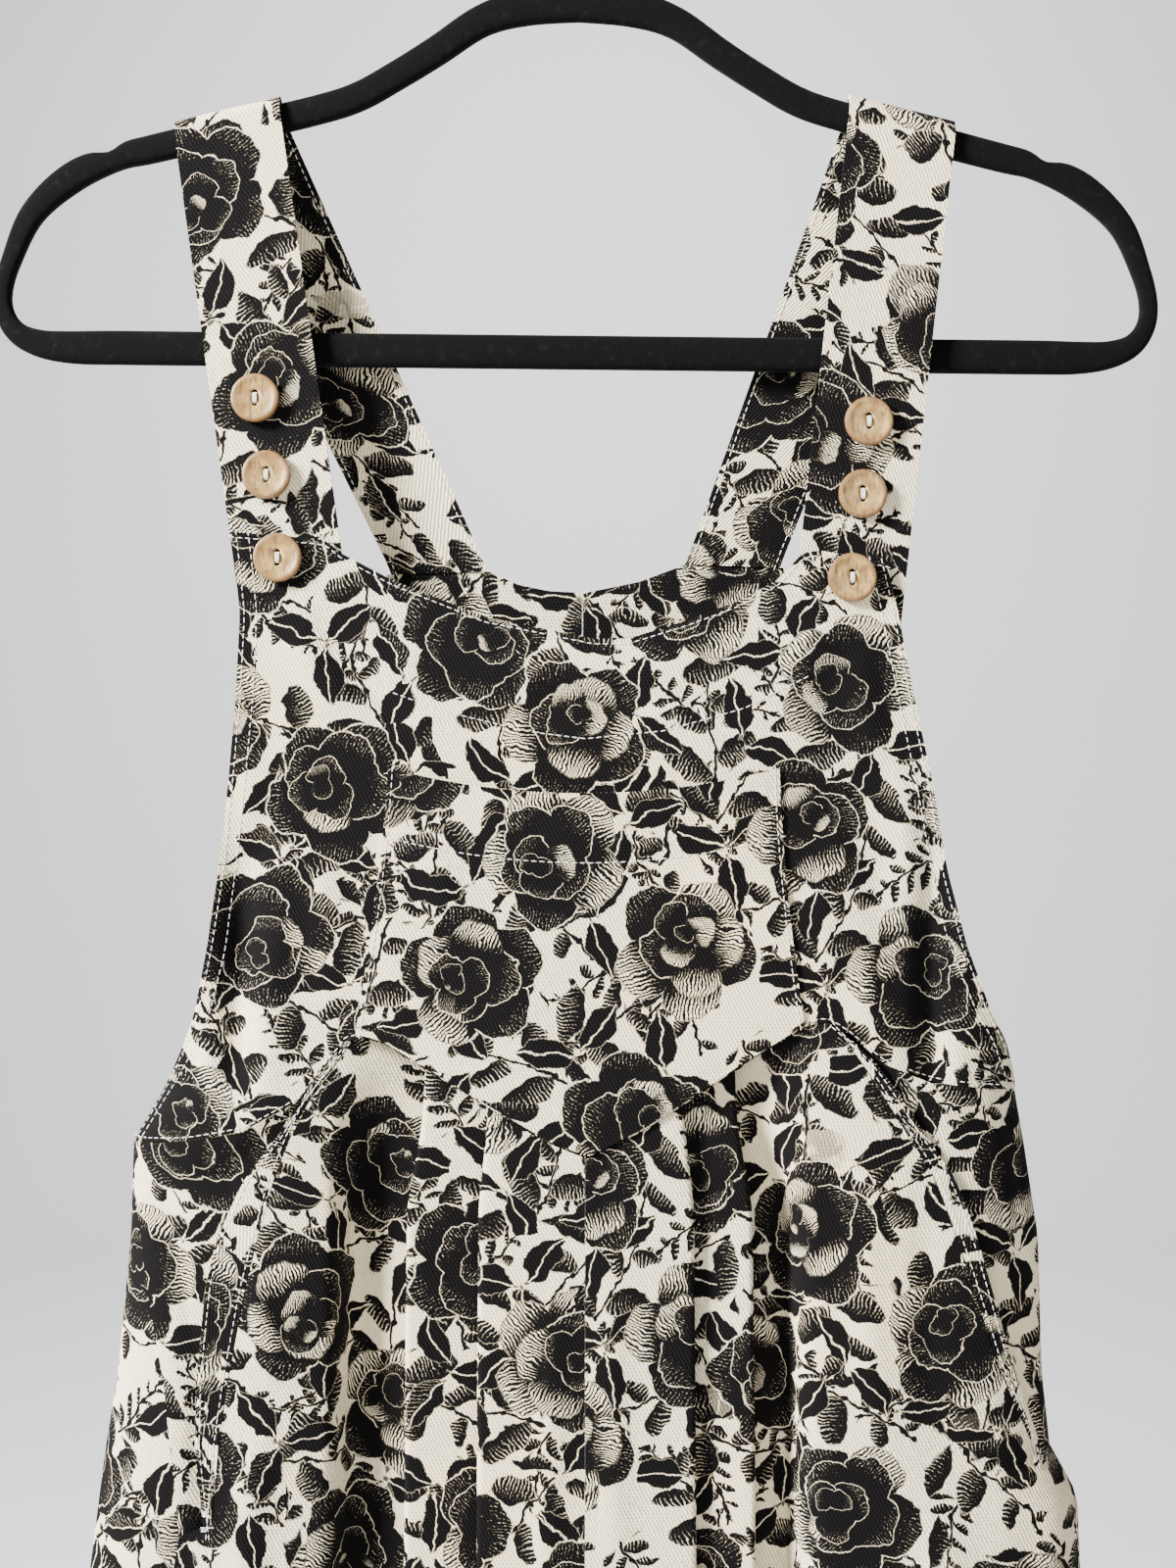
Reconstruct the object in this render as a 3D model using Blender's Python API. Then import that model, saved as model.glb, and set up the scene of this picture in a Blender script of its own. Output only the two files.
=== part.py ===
"""Pinafore overalls in cotton twill, hung by their straps on a slim hanger.

The origin is the inner top of the hanger's hook, +Z is up, the front faces -Y and +X is the viewer's right.
The legs are worked out from level sections. Each section starts at the centre-front seam, runs outwards
over the pressed pleats, turns at the side and comes back to the centre-back seam. A panel is a stretch of
those sections, so two panels that share a seam share its line. Sizes are in millimetres until a mesh is
written.
"""

import math

import bmesh
import bpy
import numpy as np
from mathutils import Matrix, Vector

MM = 0.001

# Driving sizes
GAP = 0.3
CLOTH = 1.2
STRAP_WALL = 1.8
STRAP_WIDTH = 40.0
HEM_Z = -1385.0
CROTCH_Z = -866.0
RISE_BEND_Z = -790.0
FORK = 14.0
SIDE_TURN = 38.0
BODICE_TURN = 0.995
CENTRE_BACK_X = -1.0
POCKET_LIFT = 1.7
YOKE_DROP = 2.6
YOKE_UNDER = 20.0
YOKE_EDGE = 1.0
POCKET_END_Z = {"left": -663.0, "right": -640.0}
HIP_START_Z = -400.0
HIP_FULL_Z = -505.0
SIGN = {"left": -1.0, "right": 1.0}

# Sections: step along the cloth, ease beside the inseam and bulge of the front beside the pocket
SECTION_STEP = 0.4
INSEAM_EASE = 0.75
FRONT_BULGE = 1.5

# Heights over which the pleats leave the seam and over which they fall open
PLEAT_SEAM = (-483.0, -548.0)
PLEAT_OPEN = (-620.0, HEM_Z)

# Soft upright folds of the back: depth, width of a wave over tau, offset; and where they grow
BACK_FOLDS = ((3.4, 11.5, 0.0), (2.0, 6.3, 1.1))
BACK_FOLD_SHIFT = {"left": 9.0, "right": 0.0}
BACK_FOLD_FADE = 20.0
BACK_FOLD_HEIGHTS = (-520.0, -760.0)

# Valley in the bodice beside each armhole: across, depth, width, where it starts and where it ends
VALLEY_X = {"left": 131.0, "right": 129.5}
VALLEY_DEPTH = 5.5
VALLEY_WIDTH = 6.0
VALLEY_START = (-385.0, -450.0)
VALLEY_END = (-485.0, -515.0)

# Bib pocket: half width at the mouth and its growth, height of the mouth's middle and rise at its ends
BIB_POCKET_HALF = 73.5
BIB_POCKET_FLARE = 10.5
BIB_POCKET_MOUTH = -387.5
BIB_POCKET_RISE = 9.5
BIB_POCKET_GAPE = 1.6

# Depth of the front and back cloth from the hanger's plane: height, front, back
DEPTH = (
    (-280, 11.5, 9.5),
    (-420, 15.0, 12.0),
    (-520, 19.0, 17.0),
    (-680, 25.0, 23.0),
    (-870, 27.0, 26.0),
    (-1385, 31.0, 31.0),
)

# Side outline of the hips and legs: height, left, right
SIDE = (
    (-470, 165, 160),
    (-500, 169, 163.5),
    (-520, 172, 167),
    (-556, 173, 172.5),
    (-608, 178, 174),
    (-636, 182.5, 177),
    (-655, 185, 187.5),
    (-683, 188.5, 188.5),
    (-760, 197, 197),
    (-866, 207, 207),
    (-1000, 218, 217),
    (-1200, 230, 229),
    (-1385, 238, 237),
)

# Inner edge of each leg below the crotch: height, distance from the centre
INSEAM = (
    (-866, 1.1),
    (-900, 2.5),
    (-1000, 5.0),
    (-1385, 9.0),
)

# Armhole edges of the front bodice: height, left, right
BIB_EDGE = (
    (-288, 133.5, 112.0),
    (-300, 132.0, 113.5),
    (-320, 130.0, 118.0),
    (-352, 131.5, 124.0),
    (-383, 134.0, 130.5),
    (-418, 138.0, 136.5),
    (-445, 142.0, 143.5),
    (-470, 147.0, 153.0),
    (-481, 151.0, 159.0),
    (-494, 157.0, 162.7),
    (-500, 160.0, 163.5),
    (-512, 167.0, 165.0),
    (-520, 172.0, 167.0),
)

# Armhole edges of the back bodice: height, left, right
BACK_EDGE = (
    (-298, 75.3, 76.0),
    (-340, 87.0, 88.0),
    (-380, 99.0, 100.0),
    (-420, 113.0, 114.0),
    (-460, 133.0, 134.0),
    (-485, 149.0, 151.0),
    (-500, 160.0, 163.5),
    (-520, 172.0, 167.0),
)

# Top edge of the front bodice: across, height
NECKLINE = (
    (-140, -288.5),
    (-102, -291.5),
    (-97, -292.5),
    (-93, -296.5),
    (-73, -307.0),
    (-38, -321.0),
    (3, -329.3),
    (16, -329.3),
    (38, -322.5),
    (58, -315.0),
    (72, -307.5),
    (82, -297.0),
    (88, -296.0),
    (112, -300.0),
    (120, -302.0),
)

# Pointed waist seam of the front: across, height
WAIST = (
    (-175, -520.0),
    (-150, -518.0),
    (-128, -514.0),
    (-108, -503.0),
    (-96, -488.0),
    (-90, -480.5),
    (-83, -479.0),
    (-75, -481.5),
    (-61, -490.0),
    (-37, -504.5),
    (-14, -518.0),
    (1, -524.0),
    (22, -513.5),
    (40, -502.0),
    (57, -490.5),
    (71, -482.0),
    (83, -474.5),
    (92, -473.3),
    (100, -478.5),
    (112, -489.0),
    (130, -496.0),
    (164, -500.0),
)

# Top edge and waist seam of the back: across, height
BACK_TOP = (
    (-80, -303.0),
    (-37, -301.8),
    (-26, -306.8),
    (-14, -309.3),
    (0, -310.0),
    (21, -305.7),
    (39, -299.0),
    (80, -300.5),
)
BACK_WAIST = ((-175, -520.0), (-90, -509.0), (0, -505.0), (90, -502.0), (170, -500.0))

# Slanted pocket mouth: height, outer edge, seam of its band
POCKET = {
    "left": (
        (-481.5, 90.2, 88.2),
        (-488, 95.2, 92.4),
        (-503, 107.2, 103.4),
        (-516, 115.0, 110.0),
        (-533, 128.0, 116.5),
        (-554, 137.4, 122.0),
        (-572, 141.5, 126.5),
        (-605, 144.5, 132.5),
        (-630, 145.0, 136.0),
        (-663, 141.0, 138.5),
    ),
    "right": (
        (-475.5, 94.6, 93.0),
        (-479, 99.0, 96.5),
        (-489, 109.5, 104.0),
        (-496, 114.5, 108.5),
        (-512, 125.0, 118.5),
        (-531, 138.0, 130.5),
        (-551, 145.5, 138.0),
        (-571, 151.4, 144.5),
        (-600, 159.5, 153.5),
        (-634, 171.5, 168.5),
    ),
}

# How far the side seam swings round to the front: height, left, right
SEAM_SWING = (
    (-520, 0.0, 0.0),
    (-560, 14.0, 0.0),
    (-605, 30.0, 0.0),
    (-640, 41.0, 0.0),
    (-663, 47.0, 0.0),
    (-900, 44.0, 0.0),
    (-1385, 24.0, 0.0),
)

# Pleats of each front, from the centre seam outwards: grid steps to the next row, the way along the cloth
# where pressed and where loose, and the turn of the cloth in degrees at the seam, the hip and the hem.
# A turn of 180 is a pressed return, a negative turn comes forwards.
PLEATS = {
    "left": (
        (4, 0.0, 0.0, 0, 0, 0),
        (3, 35.5, 27.0, 0, 0, -6),
        (1, 39.7, 45.0, 180, 176, 46),
        (3, 48.2, 52.0, 180, 172, 46),
        (3, 52.4, 67.0, -2, -4, -20),
        (3, 86.0, 82.0, -2, -4, -20),
        (1, 90.2, 98.0, 180, 172, 46),
        (3, 98.7, 106.0, 180, 165, 46),
        (2, 102.9, 120.0, 0, 8, 4),
        (2, 128.0, 134.0, 0, 18, 12),
        (1, 137.0, 148.0, 0, -76, -52),
        (1, 147.0, 158.0, 0, -62, -40),
        (0, 152.0, 172.0, 0, 0, 0),
    ),
    "right": (
        (4, 0.0, 0.0, 0, 0, 0),
        (3, 37.5, 29.0, 0, 0, -6),
        (1, 41.7, 45.0, 180, 178, 48),
        (3, 50.2, 53.0, 180, 176, 48),
        (3, 54.4, 68.0, -2, -5, -24),
        (3, 84.0, 84.0, -2, -5, -16),
        (1, 87.6, 96.0, 150, 140, 40),
        (3, 92.6, 102.0, 150, 130, 40),
        (2, 96.2, 116.0, -4, -6, 0),
        (2, 108.0, 128.0, 0, 30, 16),
        (1, 116.0, 142.0, 0, -76, -52),
        (1, 126.0, 152.0, 0, -66, -40),
        (0, 133.0, 166.0, 0, 0, 0),
    ),
}

# Rows at the end of each pleat table over which the cloth rises to the side of the front
RISE_ROWS = 4

# Where the pleats end and the side of the front starts: height, left, right
PLEAT_END = ((-470, 97, 86), (-520, 97, 86), (-680, 99, 88), (-866, 112, 104), (-1385, 128, 124))

# Levels of the leg panels below their curved top edge
LEG_LEVELS = (
    -548, -575, -605, -634, -650, -668, -720, -775,
    -815, -845, -868, -905, -990, -1120, -1260, HEM_Z,
)
TOP_ROWS = 3
FRONT_OUTER_COLUMNS = 8
LEG_BACK_COLUMNS = 17
YOKE_COLUMNS = 10
YOKE_IN_HEIGHTS = (-515.0, -545.0)
YOKE_INNER_LAP = 2.0
BAND_NARROWEST = 1.2
SEAM_SEARCH_START = -500.0
BIB_COLUMNS = (
    0, 0.035, 0.075, 0.115, 0.15, 0.178, 0.197, 0.22, 0.27, 0.33, 0.4, 0.49,
    0.56, 0.63, 0.7, 0.7615, 0.791, 0.8175, 0.845, 0.875, 0.925, 0.965, 1,
)
BIB_ROWS = 12
BIB_POCKET_ROWS = 7
BIB_POCKET_COLUMNS = 13
BACK_ROWS = 8
BACK_COLUMNS = 11
BACK_COLUMN_POWER = 0.85

# Hanger: wall, and the centre line from the neck round one end to the bar (across, height, height of the
# section across the line)
HANGER_SHIFT = -1.5
HANGER_TILT = math.radians(0.6)
HANGER_WALL = 6.0
HANGER_CORNER = 1.7
HANGER_LINE = (
    (0, -84.0, 17.0),
    (20, -87.0, 14.0),
    (37, -92.5, 12.0),
    (54, -104.0, 11.3),
    (69, -113.5, 11.0),
    (84, -122.0, 11.0),
    (100, -127.3, 11.0),
    (131, -135.0, 11.0),
    (162, -142.7, 10.6),
    (176, -146.2, 10.0),
    (193, -154.0, 11.5),
    (208, -168.0, 9.5),
    (216, -186.0, 7.4),
    (219, -198.0, 6.8),
    (218, -207.0, 7.2),
    (213, -214.0, 8.6),
    (204, -217.8, 10.6),
    (192, -219.0, 12.4),
    (176, -219.0, 13.0),
    (140, -219.0, 13.0),
    (70, -219.0, 13.0),
    (0, -219.0, 13.0),
)
ARM_SLOPE = math.atan2(7.7, 31.0)
ARM_LEVEL = (131.0, -135.0)
ARM_HEIGHT = 11.0

# Hook of round wire
WIRE = 3.4
HOOK_RADIUS = 24.0
HOOK_FOOT_Z = -75.2
HOOK_NECK = ((0.0, -66.0), (0.8, -58.5), (5.5, -51.8))
HOOK_SWEEP = range(-62, 216, 14)
HOOK_SIDES = 8

# Straps: middle of the fold over the arm, middle of the front end and of the back end (across, height)
STRAPS = {
    "left": {"fold_x": -136.3, "front": (-108.5, -326.0), "back": (-56.3, -302.0), "back_half": 18.8},
    "right": {"fold_x": 120.8, "front": (98.0, -330.0), "back": (57.0, -300.0), "back_half": 18.4},
}
STRAP_FRONT_Y = -9.3
STRAP_BACK_Y = 9.5
STRAP_CLEAR = 0.8
STRAP_FOLD_SINK = 2.6
STRAP_LEAN = 1.12
STRAP_FRONT_PARTS = (1.0, 0.85, 0.68, 0.5, 0.32, 0.16)
STRAP_FOLD_DEGREES = range(-90, 91, 20)
STRAP_BACK_PARTS = (0.18, 0.36, 0.55, 0.75, 1.0)
STRAP_ACROSS = (-1.0, -0.5, 0.0, 0.5, 1.0)

# Buttons: across, height; the lowest of each three sits on the bib's corner
BUTTONS = {
    "left": ((-124.7, -238.2), (-120.3, -267.3), (-115.6, -298.9)),
    "right": ((107.2, -247.0), (104.8, -274.5), (100.4, -306.4)),
}
BUTTON_RADIUS = 9.2
BUTTON_THICK = 3.0
BUTTON_SEAT = 0.55
BUTTON_SEGMENTS = 20
BUTTON_LEAN = {1: 0.035, 2: 0.035, 3: 0.012}
BUTTON_HOLE = 1.1
BUTTON_HOLE_SPACING = 4.2
BUTTON_CUTTER_LENGTH = 12.0
BUTTON_CUTTER_SIDES = 8

# Turned edge of a button: change of radius, height above the seat
BUTTON_PROFILE = (
    (-0.8, 0.0),
    (0.0, 0.9),
    (-0.5, BUTTON_THICK - 0.2),
    (-1.3, BUTTON_THICK),
)

CREAM = (0.72, 0.66, 0.53, 1.0)
FLOCK = (0.012, 0.012, 0.013, 1.0)
STEEL = (0.62, 0.62, 0.60, 1.0)
HORN = (0.55, 0.36, 0.17, 1.0)


def clear_scene():
    for thing in list(bpy.data.objects):
        bpy.data.objects.remove(thing, do_unlink=True)


def column(table, key, index):
    """Straight-line value of one column of a table whose first column falls or rises steadily."""
    keys = [row[0] for row in table]
    values = [row[index] for row in table]
    if keys[0] > keys[-1]:
        keys = keys[::-1]
        values = values[::-1]
    return float(np.interp(key, keys, values))


def blend(value, start, end):
    t = min(1.0, max(0.0, (value - start) / (end - start)))
    return t * t * (3.0 - 2.0 * t)


def by_side(side):
    return 1 if side == "left" else 2


def side_x(side, z):
    return column(SIDE, z, by_side(side))


def turned(x, edge, depth, share=1.0):
    """Distance of the cloth from the hanger's plane where it rounds off towards its side edge."""
    t = np.clip((x - (edge - SIDE_TURN)) / SIDE_TURN, 0.0, 1.0) * share
    return depth * np.sqrt(np.maximum(0.0, 1.0 - t * t))


def material(name, colour, roughness, metallic=0.0):
    found = bpy.data.materials.get(name)
    if found:
        return found
    made = bpy.data.materials.new(name)
    made.use_nodes = True
    shader = made.node_tree.nodes["Principled BSDF"]
    shader.inputs["Base Color"].default_value = colour
    shader.inputs["Roughness"].default_value = roughness
    shader.inputs["Metallic"].default_value = metallic
    return made


def finish_object(name, bm, look, smooth=40.0):
    """Turns the faces outwards, changes millimetres to metres and links the object."""
    bmesh.ops.recalc_face_normals(bm, faces=bm.faces)
    if bm.calc_volume(signed=True) < 0:
        bmesh.ops.reverse_faces(bm, faces=bm.faces)
    bmesh.ops.scale(bm, vec=(MM, MM, MM), verts=bm.verts)
    mesh = bpy.data.meshes.new(name)
    bm.to_mesh(mesh)
    bm.free()
    mesh.shade_smooth()
    mesh.set_sharp_from_angle(angle=math.radians(smooth))
    made = bpy.data.objects.new(name, mesh)
    bpy.context.scene.collection.objects.link(made)
    made.data.materials.append(look)
    return made


def grid_normals(grid, across=None):
    """Unit normals of a grid (rows, columns, xyz), facing the front for a panel read left to right."""
    if across is None:
        across = np.gradient(grid, axis=1)
    down = np.gradient(grid, axis=0)
    normal = np.cross(down, across)
    length = np.linalg.norm(normal, axis=2, keepdims=True)
    return normal / np.maximum(length, 1e-9)


def sheet(name, grid, wall, look, across=None):
    """Closed wall of cloth round a grid of points that lie in the middle of it."""
    normal = grid_normals(grid, across)
    rows, columns = grid.shape[:2]
    bm = bmesh.new()
    skins = []
    for way in (0.5, -0.5):
        points = grid + normal * (wall * way)
        skins.append([[bm.verts.new(points[r, c]) for c in range(columns)] for r in range(rows)])
    for r in range(rows - 1):
        for c in range(columns - 1):
            for skin in skins:
                bm.faces.new((skin[r][c], skin[r + 1][c], skin[r + 1][c + 1], skin[r][c + 1]))
    rim = [(0, c) for c in range(columns)]
    rim += [(r, columns - 1) for r in range(1, rows)]
    rim += [(rows - 1, c) for c in range(columns - 2, -1, -1)]
    rim += [(r, 0) for r in range(rows - 2, 0, -1)]
    for (r1, c1), (r2, c2) in zip(rim, rim[1:] + rim[:1]):
        bm.faces.new((skins[0][r1][c1], skins[0][r2][c2], skins[1][r2][c2], skins[1][r1][c1]))
    return finish_object(name, bm, look)


def pleat_rows(side, z):
    """Way along the cloth and turn at each row of the pleat table, at one height."""
    hip = blend(z, *PLEAT_SEAM)
    loose = blend(z, *PLEAT_OPEN)
    ways = []
    turns = []
    for _, pressed, free, seam_turn, hip_turn, hem_turn in PLEATS[side]:
        ways.append(pressed + (free - pressed) * loose)
        upper = seam_turn + (hip_turn - seam_turn) * hip
        turns.append(upper + (hem_turn - upper) * loose)
    return ways, turns


def crotch_turn(z):
    """Turn of the inner edge in degrees: 0 along the centre seam, 90 along the inseam."""
    return 90.0 * blend(z, RISE_BEND_Z, CROTCH_Z)


SECTIONS = {}


def section(side, z):
    """Level section of one half: way along the cloth, across, depth, and the ways to its main points."""
    key = (side, round(z, 3))
    if key in SECTIONS:
        return SECTIONS[key]
    front = column(DEPTH, z, 1)
    back = column(DEPTH, z, 2)
    edge = side_x(side, z)
    turn = math.radians(crotch_turn(z))
    fork = FORK * math.sin(turn)
    inner = GAP / 2 + INSEAM_EASE * math.sin(turn)
    if z < CROTCH_Z:
        inner = column(INSEAM, z, 1)
    ways, turns = pleat_rows(side, z)
    fine = np.arange(-fork, ways[-1], SECTION_STEP)
    angle = np.radians(np.interp(fine, ways, turns))
    bend = front * turn
    if bend > 0.5:
        lead = np.clip(1.0 - (fine + fork) / bend, 0.0, 1.0)
        angle = angle - turn * lead
    xs = inner + np.concatenate(([0.0], np.cumsum(np.cos(angle[:-1]) * SECTION_STEP)))
    ys = np.concatenate(([0.0], np.cumsum(np.sin(angle[:-1]) * SECTION_STEP)))
    ys = ys - front * math.cos(turn)
    pleat_end = column(PLEAT_END, z, by_side(side))
    xs = inner + (xs - inner) * (pleat_end - inner) / (xs[-1] - inner)
    drift = np.clip((fine - ways[8]) / (ways[-1] - ways[8]), 0.0, 1.0)
    ys = ys + (-front - ys[-1]) * drift * drift * (3.0 - 2.0 * drift)
    along = np.linspace(pleat_end, edge - SIDE_TURN, 40)[1:]
    swell = np.sin(np.linspace(0.0, math.pi, 40)[1:]) * FRONT_BULGE
    arc = np.radians(np.linspace(0.0, 90.0, 50)[1:])
    front_x = np.concatenate((xs, along, edge - SIDE_TURN * (1.0 - np.sin(arc))))
    front_y = np.concatenate((ys, -front - swell, -front * np.cos(arc)))
    front_y[-1] = 0.0
    back_arc = arc[:-1][::-1]
    mid_x = np.linspace(edge - SIDE_TURN, inner + front * math.sin(turn), 90)
    wave = back_wave(side, mid_x, z)
    tail = np.linspace(0.0, turn, 30)[1:] if turn > 0.02 else np.zeros(0)
    tail_x = inner + front * (math.sin(turn) - np.sin(tail))
    back_x = np.concatenate((edge - SIDE_TURN * (1.0 - np.sin(back_arc)), mid_x, tail_x))
    back_y = np.concatenate((back * np.cos(back_arc), back + wave, back * np.cos(tail)))
    x = np.concatenate((front_x, back_x)) * SIGN[side]
    y = np.concatenate((front_y, back_y))
    steps = np.hypot(np.diff(x), np.diff(y))
    way = np.concatenate(([0.0], np.cumsum(steps)))
    marks = {
        "ways": np.interp(ways, fine, way[: len(fine)]),
        "side": way[len(front_x) - 1],
        "end": way[-1],
        "front_count": len(front_x),
    }
    SECTIONS[key] = (way, x, y, marks)
    return SECTIONS[key]


def back_wave(side, x, z):
    """Soft upright folds of the back, growing below the waist."""
    grow = blend(z, *BACK_FOLD_HEIGHTS)
    shift = BACK_FOLD_SHIFT[side]
    fade = np.clip((side_x(side, z) - SIDE_TURN - x) / BACK_FOLD_FADE, 0.0, 1.0)
    fade = fade * np.clip((x - x.min()) / BACK_FOLD_FADE, 0.0, 1.0)
    (deep, wide, offset), (deep_2, wide_2, offset_2) = BACK_FOLDS
    folds = deep * np.sin((x + shift) / wide + offset)
    folds = folds + deep_2 * np.sin((x - shift) / wide_2 + offset_2)
    return grow * fade * folds


def at_way(side, z, way):
    ways, x, y, _ = section(side, z)
    return np.array((np.interp(way, ways, x), np.interp(way, ways, y), z))


def along_section(side, z, way):
    """Direction of the cloth along a section."""
    return at_way(side, z, way + 0.5) - at_way(side, z, way - 0.5)


def way_at_front_x(side, z, across):
    """Way along the section to a distance from the centre, on the smooth part of the front."""
    ways, x, _, marks = section(side, z)
    start = int(np.searchsorted(ways, marks["ways"][-RISE_ROWS]))
    stop = marks["front_count"]
    return float(np.interp(across, np.abs(x[start:stop]), ways[start:stop]))


def seam_way(side, z):
    marks = section(side, z)[3]
    return marks["side"] - column(SEAM_SWING, z, by_side(side))


def drop_to(line, across_at):
    """Height where a column of a panel meets a seam line that is given across."""
    z = SEAM_SEARCH_START
    for _ in range(6):
        z = column(line, across_at(z), 1)
    return z


def column_levels(top, levels, top_rows):
    first = levels[0]
    heights = [top + (first - top) * r / top_rows for r in range(top_rows)]
    return heights + list(levels)


def panel(side, way_of, share_count, line, line_gap, levels, mouth_from=None):
    """Points of a leg panel and the directions across it, as the front sees them from left to right.

    way_of(column, z) gives each column's way along the section. Columns from mouth_from on start at the
    pocket's mouth."""
    points = []
    across = []
    for c in range(share_count):
        top = drop_to(line, lambda z: at_way(side, z, way_of(c, z))[0]) - line_gap
        if mouth_from is not None and c >= mouth_from:
            top = POCKET[side][0][0]
        heights = column_levels(top, levels, TOP_ROWS)
        points.append([at_way(side, z, way_of(c, z)) for z in heights])
        across.append([along_section(side, z, way_of(c, z)) for z in heights])
    points = np.array(points).transpose(1, 0, 2)
    across = np.array(across).transpose(1, 0, 2)
    if side == "left":
        return points[:, ::-1], -across[:, ::-1]
    return points, across


def pleat_shares(side):
    """Grid columns of a front as (row of the pleat table, part of the way to the next row)."""
    shares = []
    for index, row in enumerate(PLEATS[side][:-RISE_ROWS]):
        shares += [(index, part / row[0]) for part in range(row[0])]
    return shares


def front_limit(side, z):
    """Way to the outer edge of a front: the band's seam along the pocket, the side seam below it."""
    seam = seam_way(side, z) - GAP / 2
    if z < POCKET_END_Z[side]:
        return seam
    return min(seam, way_at_front_x(side, z, column(POCKET[side], z, 2)) - GAP / 2)


def inner_gap(z):
    """Half of the gap at the inseam, where front and back face each other edge to edge."""
    return GAP / 2 * math.sin(math.radians(crotch_turn(z)))


def build_leg_front(side, look):
    shares = pleat_shares(side)

    def way_of(c, z):
        marks = section(side, z)[3]
        ways = marks["ways"]
        if c >= len(shares):
            start = ways[-RISE_ROWS]
            end = front_limit(side, z)
            return start + (end - start) * (c - len(shares)) / FRONT_OUTER_COLUMNS
        index, part = shares[c]
        start = inner_gap(z) if index == 0 else ways[index]
        return start + (ways[index + 1] - start) * part

    last = len(shares) + FRONT_OUTER_COLUMNS
    grid, across = panel(side, way_of, last + 1, WAIST, GAP / 2, LEG_LEVELS, last)
    return sheet(f"leg_front_{side}", grid, CLOTH, look, across)


def build_leg_back(side, look):

    def way_of(c, z):
        marks = section(side, z)[3]
        start = seam_way(side, z) + GAP / 2
        return start + (marks["end"] - inner_gap(z) - start) * c / (LEG_BACK_COLUMNS - 1)

    grid, across = panel(side, way_of, LEG_BACK_COLUMNS, BACK_WAIST, GAP / 2, LEG_LEVELS)
    return sheet(f"leg_back_{side}", grid, CLOTH, look, across)


def build_pocket_band(side, look):
    """Strip along the pocket mouth, its inner edge on the levels of the front's own edge."""
    levels = [z for z in LEG_LEVELS if z > POCKET_END_Z[side]]

    def way_of(c, z):
        seam = way_at_front_x(side, z, column(POCKET[side], z, 2)) + GAP / 2
        edge = way_at_front_x(side, z, column(POCKET[side], z, 1))
        edge = max(min(edge, seam_way(side, z) - GAP), seam + BAND_NARROWEST)
        return seam + (edge - seam) * c / 2

    grid, across = panel(side, way_of, 3, WAIST, GAP / 2, levels, 0)
    return sheet(f"pocket_band_{side}", grid, CLOTH, look, across)


def build_hip_yoke(side, look):
    """Under-layer of the pocket, moved in behind the front and its band."""
    levels = [z for z in LEG_LEVELS if z > POCKET_END_Z[side]]

    def way_of(c, z):
        edge = way_at_front_x(side, z, column(POCKET[side], z, 1))
        start = edge - YOKE_UNDER * blend(z, *YOKE_IN_HEIGHTS) - YOKE_INNER_LAP
        end = seam_way(side, z) - YOKE_EDGE
        return start + (end - start) * c / (YOKE_COLUMNS - 1)

    grid, across = panel(side, way_of, YOKE_COLUMNS, WAIST, YOKE_EDGE, levels)
    grid = grid - grid_normals(grid, across) * YOKE_DROP
    return sheet(f"hip_yoke_{side}", grid, CLOTH, look, across)


def bib_depth(x, z):
    """Depth of the front bodice: flat in the middle, rounding to the side low down, one valley each side."""
    side = "left" if x < 0 else "right"
    low = blend(z, HIP_START_Z, HIP_FULL_Z)
    edge = column(BIB_EDGE, z, by_side(side))
    depth = float(turned(abs(x), edge, column(DEPTH, z, 1), low * BODICE_TURN))
    off = (abs(x) - VALLEY_X[side]) / VALLEY_WIDTH
    dip = VALLEY_DEPTH * blend(z, *VALLEY_START) * math.exp(-(off ** 2))
    fade = 1.0 - blend(z, *VALLEY_END)
    return -max(depth - dip * fade, 0.0) - GAP / 2 * low


def bib_point(share, z):
    left = -column(BIB_EDGE, z, 1)
    right = column(BIB_EDGE, z, 2)
    x = left + (right - left) * share
    return np.array((x, bib_depth(x, z), z))


def build_bib(look):
    columns = []
    for share in BIB_COLUMNS:
        top = drop_to(NECKLINE, lambda z: bib_point(share, z)[0])
        low = drop_to(WAIST, lambda z: bib_point(share, z)[0]) + GAP / 2
        heights = [top + (low - top) * r / BIB_ROWS for r in range(BIB_ROWS + 1)]
        columns.append([bib_point(share, z) for z in heights])
    return sheet("bib_front", np.array(columns).transpose(1, 0, 2), CLOTH, look)


def build_bib_pocket(look):
    """Patch pocket on the bib: its points are the bib's, moved out, and its mouth stands a little proud."""
    columns = []
    for part in np.linspace(-1.0, 1.0, BIB_POCKET_COLUMNS):
        top_z = BIB_POCKET_MOUTH + BIB_POCKET_RISE * part ** 2
        column_points = []
        for r in range(BIB_POCKET_ROWS + 1):
            t = r / BIB_POCKET_ROWS
            x = part * (BIB_POCKET_HALF + BIB_POCKET_FLARE * t ** 1.4) - 0.5 - 1.5 * t
            low_z = column(WAIST, x, 1) + 1.0
            z = top_z + (low_z - top_z) * t
            gape = BIB_POCKET_GAPE * (1.0 - part ** 2) * (1.0 - blend(t, 0.0, 0.5))
            column_points.append((x, bib_depth(x, z) - POCKET_LIFT - gape, z))
        columns.append(column_points)
    return sheet("bib_pocket", np.array(columns).transpose(1, 0, 2), CLOTH, look)


def back_point(side, part, z):
    edge = column(BACK_EDGE, z, by_side(side))
    inner = CENTRE_BACK_X * SIGN[side] + GAP / 2
    x = inner + (edge - inner) * part
    low = blend(z, HIP_START_Z, HIP_FULL_Z)
    depth = float(turned(x, edge, column(DEPTH, z, 2), low * BODICE_TURN))
    return np.array((SIGN[side] * x, depth + GAP / 2 * low, z))


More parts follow.
